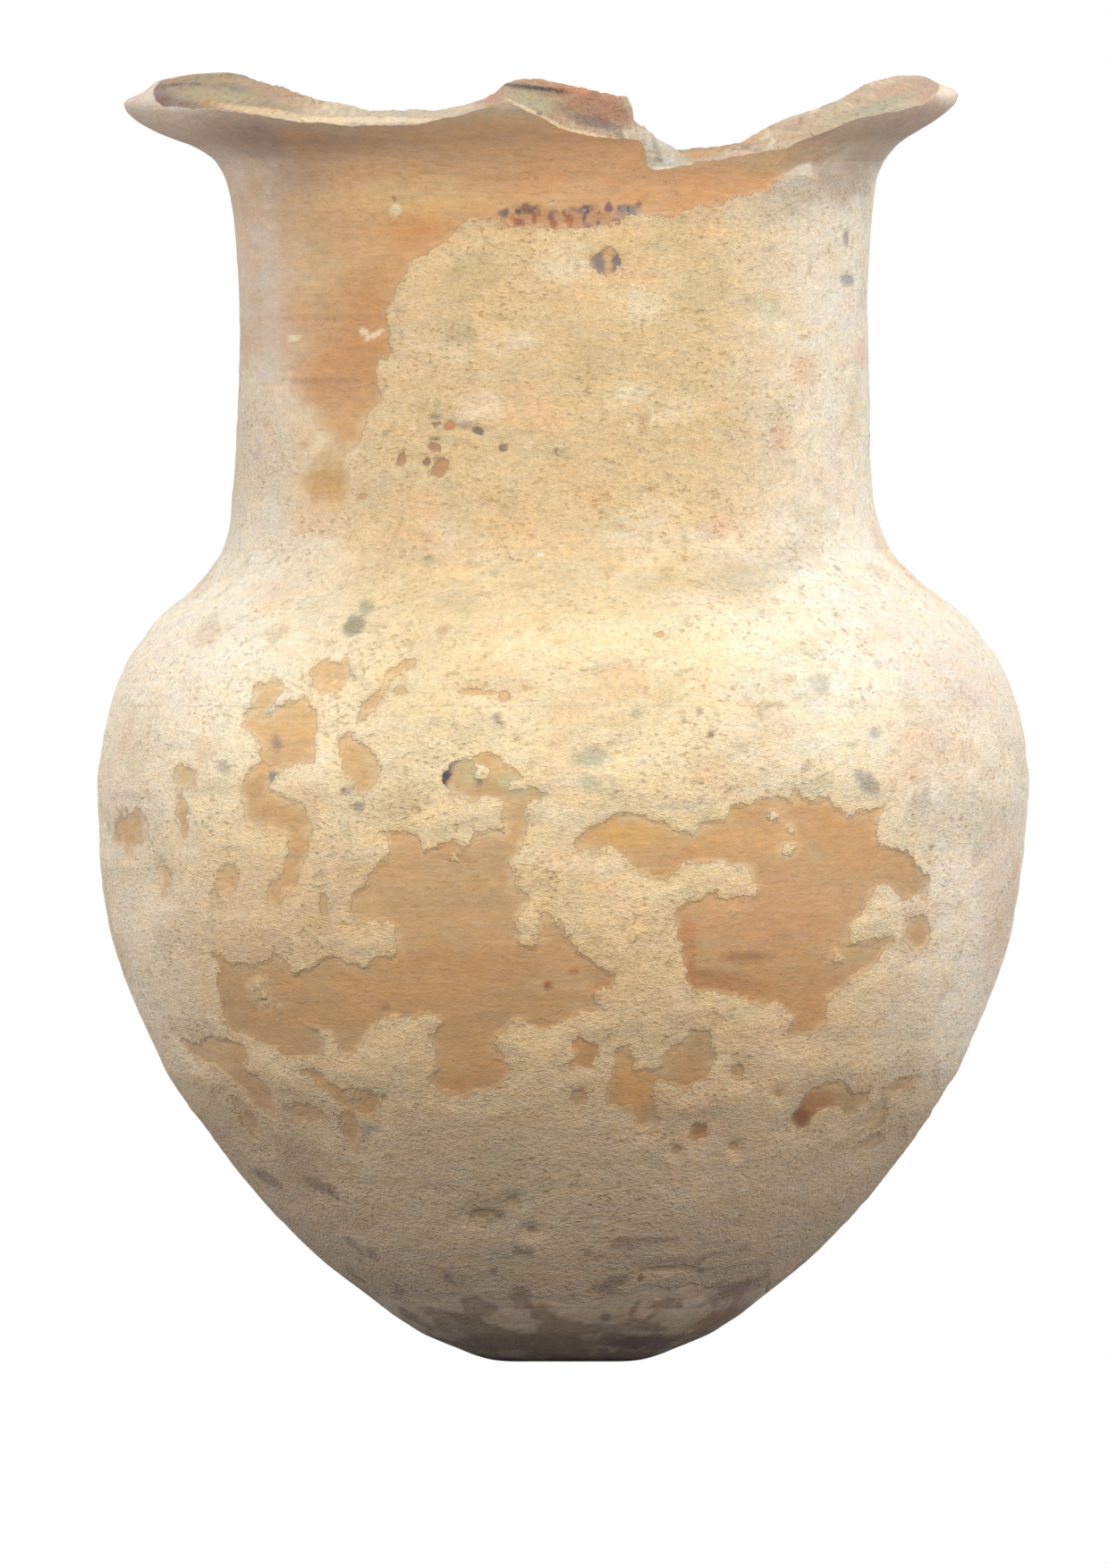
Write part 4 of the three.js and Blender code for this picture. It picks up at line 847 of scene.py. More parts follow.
class Colouring:
    """The colours of clay, crust and broken edge over the whole jar, as linear values."""

    CLAY: tuple[tuple[float, Colour], ...] = (
        (0, (150, 134, 118)), (8, (144, 126, 108)), (20, (152, 128, 106)), (34, (170, 142, 110)),
        (62, (186, 150, 108)), (95, (188, 150, 106)), (131, (198, 160, 114)), (160, (210, 170, 120)),
        (180, (214, 178, 128)), (214, (208, 172, 128)), (240, (196, 158, 116)), (270, (196, 156, 114)),
        (299, (204, 162, 114)), (312, (204, 162, 118)), (322, (190, 160, 130)), (331, (186, 164, 140)),
        # The last two steps pale the top of the lip: painted highlight
        (337, (214, 192, 166)), (341, (220, 196, 166)),
    )
    CRUST: tuple[tuple[float, Colour], ...] = (
        (0, (200, 183, 164)), (4, (202, 182, 161)), (12, (204, 182, 157)), (22, (200, 176, 146)),
        (34, (200, 175, 145)), (62, (204, 177, 141)), (85, (219, 190, 147)), (110, (232, 199, 151)),
        (140, (236, 209, 163)), (160, (243, 220, 178)), (185, (239, 215, 170)), (205, (226, 201, 155)),
        (220, (219, 190, 145)), (240, (221, 192, 146)), (299, (223, 193, 146)), (320, (196, 176, 150)),
    )
    FRACTURE: Colour = (192, 171, 142)
    INSIDE: tuple[tuple[float, Colour], ...] = (
        (0, (150, 120, 92)), (150, (176, 142, 106)), (299, (206, 168, 126)), (330, (222, 186, 146)),
    )

    def clay(self, points: Numbers, bare: Numbers | None = None) -> Numbers:
        """Clay of the outer face, worked out in full only where no crust hides it.

        Args:
            points: Places in millimetres, one row each.
            bare: How far each lies inside a bare stretch, if crust lies on the piece.

        Returns:
            A linear colour for each point.
        """
        if bare is None:
            return self.with_marks(self.bare_clay(points), points, CLAY_STAINS_AND_PAINTED_LIGHT)
        colours = height_ramp(points[:, 2], self.CLAY)
        fading = (points[:, 0] < -46) & (points[:, 2] > 195)
        seen = (bare > -2.5) | (points[:, 2] > FLARE - 16) | (points[:, 2] < FOOT) | fading
        places, depth = points[seen], bare[seen]
        film = self.film(places, depth)
        shown = self.bare_clay(places)
        coated = film > 0
        crust = self.plain_crust(places[coated])
        crust *= 0.9 + 0.12 * layered_noise(places[coated], (2.2, 2.2, 1.6), 2, 58)[:, None]
        shown[coated] += (crust - shown[coated]) * film[coated, None]
        shown = self.with_marks(shown, places, CLAY_STAINS_AND_PAINTED_LIGHT)
        low = places[:, 2] < FOOT
        shown[low] = self.with_marks(shown[low], places[low], CRUST_STAINS_AND_PAINTED_LIGHT)
        colours[seen] = shown
        return colours

    def bare_clay(self, points: Numbers) -> Numbers:
        """Clean clay: a ramp by height, streaks along the wheel, cloudy blotches and painted sheen towards
        the neck's sides.
        """
        colours = height_ramp(points[:, 2], self.CLAY)
        streaks = layered_noise(points, (42, 42, 3), 3, 41)
        colours = colours * (1 + 0.07 * streaks[:, None])
        for mottle in CLAY_MOTTLES:
            colours = mottle.over(colours, points)
        return self.painted_edge_sheen(points, colours, 0.6)

    def film(self, points: Numbers, bare: Numbers) -> Numbers:
        """How thickly a film of crust still lies on the clay.

        It is patchy along the edges of the bare stretches, wide at the left of the neck, and whole
        on the bottom and under the flare, where the crust thins out to nothing.

        Args:
            points: Places in millimetres, one row each.
            bare: How far each lies inside a bare stretch.

        Returns:
            Shares from 0 to 1.
        """
        cloudy = layered_noise(points, (7, 7, 4), 3, 56)
        film = unit_step(bare, 3.2, 0.2) * np.clip(0.4 + 0.7 * cloudy, 0, 1) * 0.65
        left = points[:, 0] + 13 * unit_step(points[:, 2], 247, 259) + 3 * cloudy
        corner = neck_corner(left, points[:, 1], points[:, 2], (-55, -67), (200, 222))
        corner *= unit_step(points[:, 2], 276, 262)
        film = np.maximum(film, corner * unit_step(bare + 3 * cloudy, 10, 0))
        flare = unit_step(bare + 2 * cloudy, 2, -1) * unit_step(points[:, 2], FLARE - 9, FLARE - 5)
        return np.maximum.reduce([film, flare, unit_step(points[:, 2], CAP + 15, CAP + 10)])

    def with_marks(self, colours: Numbers, points: Numbers, marks: Sequence[Mark]) -> Numbers:
        """Lay stains and patches of painted light and shade over the colours, one after another."""
        for mark in (EllipseMark(*row) for row in marks):
            cover = mark.mask(points)
            met = cover > 0
            colours[met] = tint_over(colours[met], mark.colour, cover[met])
        return colours

    def painted_edge_sheen(self, points: Numbers, colours: Numbers, most: float) -> Numbers:
        """Painted sheen: a pale whitening towards the two sides of the neck as seen from the front, uneven
        along them.
        """
        edge = np.abs(points[:, 0] + 3) / np.maximum(np.hypot(points[:, 0] + 3, points[:, 1]), 1)
        patchy = 0.8 + 0.4 * layered_noise(points, (16, 16, 9), 3, 53)
        sheen_cover = unit_step(edge, 0.7, 0.99) * patchy * unit_step(points[:, 2], 190, 226)
        return tint_over(colours, EDGE_SHEEN, np.clip(sheen_cover, 0, 1) * most)

    def crust(self, points: Numbers) -> Numbers:
        """Crust with its named stains and patches of painted light and shade."""
        return self.with_marks(self.plain_crust(points), points, CRUST_STAINS_AND_PAINTED_LIGHT)

    def plain_crust(self, points: Numbers) -> Numbers:
        """Crust: a ramp by height, sides paled to a pinkish cream by painted sheen and highlight, cloudy
        mottling and patches that darken it towards the bottom.

        Args:
            points: Places in millimetres, one row each.

        Returns:
            A linear colour for each point.
        """
        colours = height_ramp(points[:, 2], self.CRUST)
        mottle = layered_noise(points, (18, 18, 8), 4, 61)
        colours = colours * (1 + 0.07 * mottle[:, None])
        for layer in (*PAINTED_SIDE_SHEEN, *CRUST_MOTTLES):
            colours = layer.over(colours, points)
        # Brownish-grey patches below the foot, which grow towards the bottom and darken the crust there
        low = points[:, 2] < FOOT
        swayed = points[low] + 3.5 * layered_noise(points[low], 8, 2, 78)[:, None]
        patches = layered_noise(swayed, (10, 10, 5), 4, 75) + 0.8 * unit_step(points[low, 2], 27, 3)
        colours[low] = tint_over(colours[low], LOW_DARK_PATCH, unit_step(patches, 0.4, 0.75) * 0.72)
        return colours

    def fracture(self, points: Numbers) -> Numbers:
        """Broken edge: cream clay, cloudy with grey-green and pink, and the named stains and painted shade.
        """
        colours = np.repeat(linear(self.FRACTURE)[None, :], len(points), axis=0)
        colours = colours * (1 + 0.12 * layered_noise(points, (12, 12, 1.3), 3, 79)[:, None])
        for mottle in FRACTURE_MOTTLES:
            colours = mottle.over(colours, points)
        return self.with_marks(colours, points, FRACTURE_STAINS_AND_PAINTED_SHADE)

    def inside(self, points: Numbers) -> Numbers:
        """Inner face: warm peach clay that darkens downwards, with faint wheel streaks."""
        colours = height_ramp(points[:, 2], self.INSIDE)
        return colours * (1 + 0.08 * layered_noise(points, (60, 60, 4), 3, 91)[:, None])


class NodeShop:
    """Small helpers for laying out a node tree."""

    def __init__(self, tree: Tree) -> None:
        """Work on a material's, group's or world's node tree."""
        self.tree = tree

    def add(self, kind: str, **settings: object) -> Node:
        """Add a node and set its properties."""
        node = self.tree.nodes.new(kind)
        for name, value in settings.items():
            setattr(node, name, value)
        return node

    def join(self, start: object, end: Socket) -> None:
        """Link an output to an input, or set a plain number or vector on the input."""
        if isinstance(start, Socket):
            self.tree.links.new(start, end)
        else:
            end.default_value = start

    def step(self, kind: str, operation: str, first: object, second: object, last: int | str = 1) -> Socket:
        """Work out one step between two sockets or plain values.

        Args:
            kind: Math or VectorMath.
            operation: Blender's name of the operation.
            first: A socket, a number or a vector.
            second: Likewise.
            last: The input that takes the second.

        Returns:
            The socket with the result.
        """
        node = self.add("ShaderNode" + kind, operation=operation)
        self.join(first, node.inputs[0])
        self.join(second, node.inputs[last])
        return node.outputs[0]

    def sum(self, operation: str, first: object, second: object) -> Socket:
        """Work out one step of arithmetic between sockets or plain numbers."""
        return self.step("Math", operation, first, second)

    def times(self, first: object, second: object) -> Socket:
        """Multiply two colours or vectors, part by part."""
        return self.step("VectorMath", "MULTIPLY", first, second)

    def painted(self, title: str, output: str) -> Socket:
        """Read a colour or a value of the mesh."""
        return self.add("ShaderNodeAttribute", attribute_name=title).outputs[output]

    def noise(self, vector: Socket, scale: float, detail: float) -> Socket:
        """Cloudy noise from 0 to 1 at so many waves a metre."""
        node = self.add("ShaderNodeTexNoise")
        for name, value in (("Scale", scale), ("Detail", detail), ("Vector", vector)):
            self.join(value, node.inputs[name])
        return node.outputs["Fac"]

    def blend(self, parts: Sequence[tuple[Socket, float]]) -> Socket:
        """Add noises up, each less its mean of a half and times its weight."""
        total: object = 0.0
        for value, weight in parts:
            total = self.sum("ADD", total, self.sum("MULTIPLY", self.sum("SUBTRACT", value, 0.5), weight))
        return total

    def mix(self, share: Socket, first: object, second: object) -> Socket:
        """Mix two colours or vectors, sockets or plain numbers, by a share of the second."""
        node = self.add("ShaderNodeMix", data_type="VECTOR")
        self.join(share, node.inputs["Factor"])
        sides = [socket for socket in node.inputs if socket.type == "VECTOR" and socket.name in "AB"]
        for socket, value in zip(sides, (first, second)):
            self.join(value, socket)
        return next(socket for socket in node.outputs if socket.type == "VECTOR")

    def tinge(self, shade: Socket, share: Socket, cool: Triple, warm: Triple) -> Socket:
        """Mix a cool and a warm multiplier and scale the mixture by a shade."""
        return self.step("VectorMath", "SCALE", self.mix(share, cool, warm), shade, "Scale")

    def span(self, value: Socket, source: Pair = (0.0, 1.0), target: Pair = (0.0, 1.0)) -> Socket:
        """Map one range of values on to another, and hold it there."""
        node = self.add("ShaderNodeMapRange")
        names = ("Value", "From Min", "From Max", "To Min", "To Max")
        for name, number in zip(names, (value, *source, *target)):
            self.join(number, node.inputs[name])
        return node.outputs["Result"]


def new_material(name: str) -> tuple[Material, NodeShop, Node]:
    """Make a material, with a shop for its nodes and its shader."""
    material = bpy.data.materials.new(name)
    material.use_nodes = True
    return material, NodeShop(material.node_tree), material.node_tree.nodes["Principled BSDF"]


def new_group(
    name: str, taken: Sequence[str], given: Sequence[str]
) -> tuple[Tree, NodeShop, Node, Node]:
    """Make a node group with its sockets.

    Args:
        name: Name of the group.
        taken: Names of what goes in. Vector and Tinge are vectors, all others are numbers.
        given: Names of what comes out.

    Returns:
        The group, a shop for its nodes, and its input and output nodes.
    """
    group = bpy.data.node_groups.new(name, "ShaderNodeTree")
    for way, titles in (("INPUT", taken), ("OUTPUT", given)):
        for title in titles:
            kind = "NodeSocketVector" if title in ("Vector", "Tinge") else "NodeSocketFloat"
            group.interface.new_socket(title, in_out=way, socket_type=kind)
    shop = NodeShop(group)
    return group, shop, shop.add("NodeGroupInput"), shop.add("NodeGroupOutput")


def sandy_grain() -> Tree:
    """Group for grit: grains of three sizes, and pits that gather in clusters and hold brown dirt.

    Returns:
        A group with the grit's tinge around 1 and its height around 0.5.
    """
    group, shop, start, end = new_group("sandy_grain", ("Vector", "Strength"), ("Tinge", "Height"))
    flat = shop.times(start.outputs["Vector"], (0.62, 0.62, 1.0))
    fine, middling, coarse = (shop.noise(flat, scale, 2) for scale in (2600, 1150, 460))
    grains = shop.blend(((fine, 0.5), (middling, 0.45), (coarse, 0.3)))
    pits = shop.span(shop.noise(flat, 880, 1.5), (0.585, 0.7))
    pits = shop.sum("MULTIPLY", pits, shop.span(shop.noise(flat, 75, 2), (0.4, 0.6), (0.2, 1.0)))
    strength = start.outputs["Strength"]
    shade = shop.sum("ADD", 1.0, shop.sum("MULTIPLY", grains, strength))
    warm = shop.span(shop.noise(flat, 540, 2), (0.35, 0.65))
    tinge = shop.tinge(shade, warm, (0.985, 1.0, 1.035), (1.015, 0.998, 0.955))
    dirt = shop.mix(shop.sum("MULTIPLY", pits, strength), (1.0, 1.0, 1.0), (0.8, 0.72, 0.6))
    shop.join(shop.times(tinge, dirt), end.inputs["Tinge"])
    dug = shop.sum("MULTIPLY", pits, -0.22)
    shop.join(shop.sum("ADD", shop.sum("ADD", grains, 0.5), dug), end.inputs["Height"])
    return group


def wheel_lines() -> Tree:
    """Group for the fine lines and bands that the wheel and the brush leave round a thrown wall.

    Returns:
        A group with the lines' tinge around 1 and their height around 0.5.
    """
    group, shop, start, end = new_group("wheel_lines", ("Vector", "Strength"), ("Tinge", "Height"))
    drawn = shop.times(start.outputs["Vector"], (0.13, 0.13, 1.0))
    loose = shop.times(start.outputs["Vector"], (0.36, 0.36, 1.0))
    lines, bands, streaks = shop.noise(drawn, 1500, 3), shop.noise(drawn, 400, 3), shop.noise(loose, 700, 3)
    relief = shop.blend(((lines, 0.4), (bands, 0.4), (streaks, 0.6)))
    shade = shop.sum("ADD", 1.0, shop.sum("MULTIPLY", relief, start.outputs["Strength"]))
    warm = shop.span(shop.noise(loose, 240, 4), (0.36, 0.64))
    tinge = shop.tinge(shade, warm, (0.97, 1.0, 1.04), (1.03, 0.992, 0.93))
    shop.join(tinge, end.inputs["Tinge"])
    shop.join(shop.sum("ADD", relief, 0.5), end.inputs["Height"])
    return group


def flake_edge() -> Tree:
    """Group for the crumbly edge of the crust: the distance inside a bare stretch, frayed and cut off.

    Where the crust fades the cut is drawn out over eight millimetres.

    Returns:
        A group that puts out 1 where the crust is gone and 0 where it stays.
    """
    group, shop, start, end = new_group("flake_edge", ("Vector", "Distance", "Fade"), ("Gone",))
    place = start.outputs["Vector"]
    frayed = shop.blend(((shop.noise(place, 330, 2), 3.2), (shop.noise(place, 900, 3), 2.6)))
    distance = shop.sum("ADD", start.outputs["Distance"], frayed)
    width = shop.sum("ADD", 0.22, shop.sum("MULTIPLY", start.outputs["Fade"], 8.0))
    share = shop.sum("ADD", shop.sum("DIVIDE", shop.sum("SUBTRACT", distance, 0.12), width), 1.0)
    shop.join(shop.span(share), end.inputs["Gone"])
    return group


@dataclass(frozen=True)
class Finish:
    """A matt earthen surface: its own colours, times the tinge of its lines and grit."""

    name: str
    roughness: float
    line_strength: float
    grain_strength: float
    line_depth: float
    grain_depth: float
    sheen: float
    step: float = 0.34

    def material(self, groups: dict[str, Tree], below: "Finish | None" = None) -> Material:
        """Build the material.

        Args:
            groups: The shared node groups by name.
            below: The finish that shows where this one has flaked off.

        Returns:
            A material that reads the colours of the mesh.
        """
        material, shop, shader = new_material(self.name)
        place = shop.add("ShaderNodeTexCoord").outputs["Object"]
        colour, height = self.coat(shop, groups, place, "tint")
        shop.join(self.roughness, shader.inputs["Roughness"])
        if below is not None:
            edge = shop.add("ShaderNodeGroup", node_tree=groups["flake_edge"])
            shop.join(place, edge.inputs["Vector"])
            for title, target in (("bare", "Distance"), ("fade", "Fade")):
                shop.join(shop.painted(title, "Fac"), edge.inputs[target])
            gone = edge.outputs["Gone"]
            under, dip = below.coat(shop, groups, place, "under")
            colour = shop.mix(gone, colour, under)
            height = shop.sum("ADD", height, self.step)
            rest = shop.sum("MULTIPLY", shop.sum("SUBTRACT", dip, height), gone)
            height = shop.sum("ADD", height, rest)
            roughness = shop.span(gone, target=(self.roughness, below.roughness))
            shop.join(roughness, shader.inputs["Roughness"])
        shop.join(colour, shader.inputs["Base Color"])
        bump = shop.add("ShaderNodeBump")
        for name, value in (("Strength", 1.0), ("Distance", 0.001), ("Height", height)):
            shop.join(value, bump.inputs[name])
        shop.join(bump.outputs["Normal"], shader.inputs["Normal"])
        gloss = (("Specular IOR Level", 0.25), ("Sheen Weight", self.sheen), ("Sheen Roughness", 0.6))
        for name, value in gloss:
            shader.inputs[name].default_value = value
        return material

    def coat(
        self, shop: NodeShop, groups: dict[str, Tree], place: Socket, title: str
    ) -> tuple[Socket, Socket]:
        """Lay out this finish's colour and height from one of the mesh's colours.

        Args:
            shop: The material's nodes.
            groups: The shared node groups by name.
            place: Where on the object the surface is.
            title: Name of the mesh's colour.

        Returns:
            The colour and the height in millimetres.
        """
        colour = shop.painted(title, "Color")
        heights = []
        effects = (
            ("wheel_lines", self.line_strength, self.line_depth),
            ("sandy_grain", self.grain_strength, self.grain_depth),
        )
        for name, strength, depth in effects:
            node = shop.add("ShaderNodeGroup", node_tree=groups[name])
            shop.join(strength, node.inputs["Strength"])
            shop.join(place, node.inputs["Vector"])
            colour = shop.times(colour, node.outputs["Tinge"])
            heights.append(shop.sum("MULTIPLY", shop.sum("SUBTRACT", node.outputs["Height"], 0.5), depth))
        return colour, shop.sum("ADD", *heights)


FIRED_CLAY = Finish("fired_clay", 0.82, 0.56, 0.42, 0.14, 0.3, 0.12)
BURIAL_CRUST = Finish("burial_crust", 0.95, 0.2, 1.0, 0.08, 1.1, 0.2)
FRESH_BREAK = Finish("broken_clay", 0.92, 0.0, 1.0, 0.0, 0.6, 0.15)


@dataclass
class Workshop:
    """What every piece is made with: the jar's shape, its colours and its materials."""

    shape: JarShape
    flaked: "FlakedArea"
    colouring: Colouring
    clay: Material
    crust: Material
    fracture: Material


@dataclass(frozen=True)
class ThrownSection:
    """One thrown ring of the wall between two joints, or the closed bottom."""

    node: str
    below: float
    above: float
    front_columns: int = 460
    back_columns: int = 190
    row: float = 1.2
    inner_row: float = 4.0

    def build(self, shop: Workshop) -> Piece:
        """Turn the section: up the outer face, over the bevelled joint and down the inner face.

        Args:
            shop: The jar's shape, colours and materials.

        Returns:
            The ring, or the bottom where it starts on the axis.
        """
        shape = shop.shape
        first = shape.run_at(self.below) if self.below else np.float64(0.0)
        last = shape.run_at(self.above)
        outer_run = np.linspace(first + JOINT_GAP, last - JOINT_GAP, round((last - first) / self.row) + 1)
        bevel = JOINT_BEVEL if self.below else 0.0
        inner_run = np.arange(last + JOINT_BEVEL, first + bevel, -self.inner_row)
        inner_run = np.append(inner_run, first + bevel)
        if not self.below:
            outer_run[0] = 0.0
        outer = shape.face(outer_run)
        inner = shape.face(inner_run, -WALL_THICKNESS)
        section = np.vstack([outer, inner])
        section[:, 0] = np.maximum(section[:, 0], 0.0)
        angles = column_angles(self.front_columns, self.back_columns)[None, :]
        radius, height = section[:, 0, None], section[:, 1, None]
        moved = radius + shape.relief(angles, height) * (radius > 0)
        points = shape.place(angles, moved, np.broadcast_to(height, moved.shape)).reshape(-1, 3)
        faces = grid_faces(len(section), angles.size, bool(self.below))
        split = len(outer) * angles.size
        turned, runs = np.tile(angles[0], len(outer)), np.repeat(outer_run, angles.size)
        bare = shop.flaked.lost(points[:split], turned, runs)
        tint = np.vstack([shop.colouring.clay(points[:split], bare), shop.colouring.inside(points[split:])])
        piece = make_piece(f"thrown_{self.node}", points, faces, tint, [shop.clay])
        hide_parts(self.node)
        return piece


@dataclass
class RimCut:
    """How the break crosses the whole rim's outline, column by column round the jar."""

    angles: Numbers
    # The outline, and where the lip's two roots lie along it
    whole: MeasuredLine
    roots: Pair
    # Where the break leaves the outline and meets it again, and its face by row and column
    leave: Numbers
    enter: Numbers
    face: Numbers
    # Whether its edges lie above the roots, and the row and the point in which it passes them
    outer_above: NDArray
    inner_above: NDArray
    cross_row: NDArray
    cross: Numbers


@dataclass(frozen=True)
class BrokenRim:
    """The flare and the two lengths of lip that are left on it, with the broken edge between."""

    front_columns: int = 720
    back_columns: int = 290
    outline_step: float = 0.3
    outer_row: float = 0.6
    bead_rows: int = 34
    break_rows: int = 28
    least_lip: float = 0.6
    roughness: float = 0.5
    swell: float = 0.7
    outer_chips: float = 0.5
    inner_chips: float = 0.6
    fine_chips: float = 0.25
    slot_depth: float = 1.2
    slot_height: float = 0.7
    slot_level: float = 336.7
    slot_middle: float = -6.6
    slot_slope: float = 0.12
    nose_half_height: float = 3.4
    nose_round: float = 2.0
    sag: float = 1.8
    sag_radians: float = 0.36
    crest_shift: float = -5.2

    @property
    def columns(self) -> int:
        """Columns all the way round."""
        return self.front_columns + self.back_columns

    def build(self, shop: Workshop) -> list[Piece]:
        """Cut the whole rim's section along the break, column by column, and part it at the lip's root.

        Args:
            shop: The jar's shape, colours and materials.

        Returns:
            The flare, then the left and the right lip.
        """
        shape = shop.shape
        start, root = float(shape.run_at(NECK_TOP)), float(shape.outer.run[-1])
        outer = shape.face(np.arange(start + JOINT_GAP, root, self.outline_step))
        foot = start + JOINT_BEVEL
        down = np.append(np.arange(root, foot + 0.1, -self.outline_step), foot)
        inner = shape.face(down, -WALL_THICKNESS)
        bead = SmoothCurve((*LIP_PROFILE, (float(inner[0, 0]), float(inner[0, 1])))).points
        whole = MeasuredLine(np.vstack([outer, bead, inner[1:]]))
        outer_root, inner_root = whole.run[len(outer)], whole.run[len(outer) + len(bead) - 1]

        angles = column_angles(self.front_columns, self.back_columns)
        leave, enter = self.break_ends(angles, whole)
        share = np.linspace(0, 1, self.break_rows + 1)[:, None]
        broken = self.break_face(angles, whole, leave, enter, share)
        seam_start, seam_end = whole.at(outer_root), whole.at(inner_root)
        seam = seam_end - seam_start
        above = (broken - seam_start) @ np.array([seam[1], -seam[0]]) > 0
        outer_above, inner_above = leave > outer_root, enter < inner_root
        crossing = np.where(outer_above, above.sum(axis=0), (~above).sum(axis=0)) / len(share)
        crossing = np.clip(crossing, 0.02, 0.98)
        column = np.arange(self.columns)
        cross_row = np.clip(np.round(crossing * self.break_rows).astype(int), 0, self.break_rows)
        cross = broken[cross_row, column]
        seam_share = np.clip((cross - seam_start) @ seam / (seam @ seam), 0.0, 1.0)

        both = outer_above & inner_above
        outwards = seam_share * np.minimum(share / crossing, 1.0)
        inwards = seam_share + (1 - seam_share) * np.clip((share - crossing) / (1 - crossing), 0, 1)
        part = np.where(both, share, np.where(outer_above, outwards, inwards))
        on_seam = seam_start + part[..., None] * seam
        use_seam = both | (outer_above & (share <= crossing))
        use_seam |= inner_above & ~outer_above & (share >= crossing)
        top = np.where(use_seam[..., None], on_seam, broken)

        cut = RimCut(
            angles, whole, (outer_root, inner_root), leave, enter, broken, outer_above, inner_above,
            cross_row, seam_start + seam_share[:, None] * seam,
        )
        flare = self.flare(shop, cut, top, use_seam)
        lips = [
            self.lip(shop, "rolled_lip_left", "lip_left", math.pi, cut),
            self.lip(shop, "rolled_lip_right", "lip_right", 0.0, cut),
        ]
        return [flare, *lips]

    def break_ends(self, angles: Numbers, whole: MeasuredLine) -> tuple[Numbers, Numbers]:
        """Where the break leaves the outline on its outer side and meets it again on its inner side.

        The break is a straight line in each upright section, level beyond its two traced edges.

        Args:
            angles: Angle of each column in radians.
            whole: The whole rim's outline, radius and height.

        Returns:
            Distances along the outline for each column, outer and inner.
        """
        outline, travel = whole.points, whole.run
        table = np.array(BREAK_LINE)
        seen = np.degrees(angles)
        outer_in, outer_drop, inner_in, inner_drop = (
            np.interp(seen, table[:, 0], table[:, k], period=360) for k in (1, 2, 3, 4)
        )
        outer_radius, inner_radius = LIP_RADIUS - outer_in, LIP_RADIUS - inner_in
        share = (outline[:, 0] - inner_radius[:, None]) / (outer_radius - inner_radius)[:, None]
        drop = inner_drop[:, None] + np.clip(share, 0, 1) * (outer_drop - inner_drop)[:, None]
        clear = CREST - drop - outline[:, 1]
        across = outline[:, 0] * np.cos(angles)[:, None]
        left, right = (
            place + ((outline[:, 1] - up) / self.nose_half_height) ** 2 * way
            for (place, up), way in ((LEFT_NOSE, self.nose_round), (RIGHT_NOSE, -self.nose_round))
        )
        clear = np.maximum(clear, np.maximum(left - across, across - right))
        cut = clear <= 0
        unbroken = ~cut.any(axis=1)
        first = np.clip(cut.argmax(axis=1), 1, len(travel) - 1)
        last = np.clip(len(travel) - 1 - cut[:, ::-1].argmax(axis=1), 0, len(travel) - 2)
        row = np.arange(len(angles))

        def crossing(low: NDArray, high: NDArray) -> Numbers:
            """Distance at which the clearance passes zero between two outline points."""
            before, after = clear[row, low], clear[row, high]
            return travel[low] + (travel[high] - travel[low]) * before / (before - after + 1e-9)

        leave, enter = crossing(first - 1, first), crossing(last, last + 1)
        middle = (leave + enter) / 2
        found = np.interp(angles[unbroken], angles[~unbroken], middle[~unbroken], period=math.tau)
        middle[unbroken] = found
        around = ring_points(angles, 100.0, 0.0)
        wide = unit_step(enter - leave, 2, 7) * ~unbroken
        chips = self.outer_chips * layered_noise(around, 6, 3, 101)
        leave = leave + wide * (chips + self.fine_chips * smooth_noise(around, 0.9, 104))
        chips = self.inner_chips * layered_noise(around, 7, 3, 105)
        enter = enter + wide * (chips + self.fine_chips * smooth_noise(around, 1.1, 108))
        least = 0.5
        leave = np.where(unbroken, middle - least, np.minimum(leave, middle - least))
        enter = np.where(unbroken, middle + least, np.maximum(enter, middle + least))
        return leave, enter

    def break_face(
        self, angles: Numbers, whole: MeasuredLine, leave: Numbers, enter: Numbers, share: Numbers
    ) -> Numbers:
        """The broken face: straight across between its two edges, roughened along its normal.

        Args:
            angles: Angle of each column.
            whole: The whole rim's outline.
            leave: Distance of the outer edge in each column.
            enter: Distance of the inner edge in each column.
            share: Shares across the face, one row each.

        Returns:
            Radius and height by row and column.
        """
        first, last = whole.at(leave), whole.at(enter)
        chord = last - first
        straight = first + share[..., None] * chord
        follow = whole.at(leave + share * (enter - leave))
        width = np.linalg.norm(chord, axis=1)
        normal = np.stack([chord[:, 1], -chord[:, 0]], axis=-1) / np.maximum(width, 1e-6)[:, None]
        radius, height = straight[..., 0], straight[..., 1]
        angle = np.broadcast_to(angles, radius.shape)
        places = ring_points(angle, radius, height)
        rough = layered_noise(places, (5, 5, 3), 4, 111).reshape(radius.shape) * self.roughness
        rough += layered_noise(places, (16, 16, 9), 2, 117).reshape(radius.shape) * self.swell
        across = places[:, 0].reshape(radius.shape) + self.crest_shift - self.slot_middle
        above = height - self.slot_level + across * self.slot_slope
        slot = self.slot_depth * np.exp(-((above / self.slot_height) ** 2))
        slot *= unit_step(np.abs(across), 11, 8.5) * (np.sin(angle) < 0)
        window = np.clip(share * (1 - share) * 7, 0, 1) * unit_step(width, 1.5, 6)
        moved = straight + normal * ((rough - slot) * window)[..., None]
        settled = unit_step(enter - leave, 1.5, 5)[None, :, None]
        return follow * (1 - settled) + moved * settled

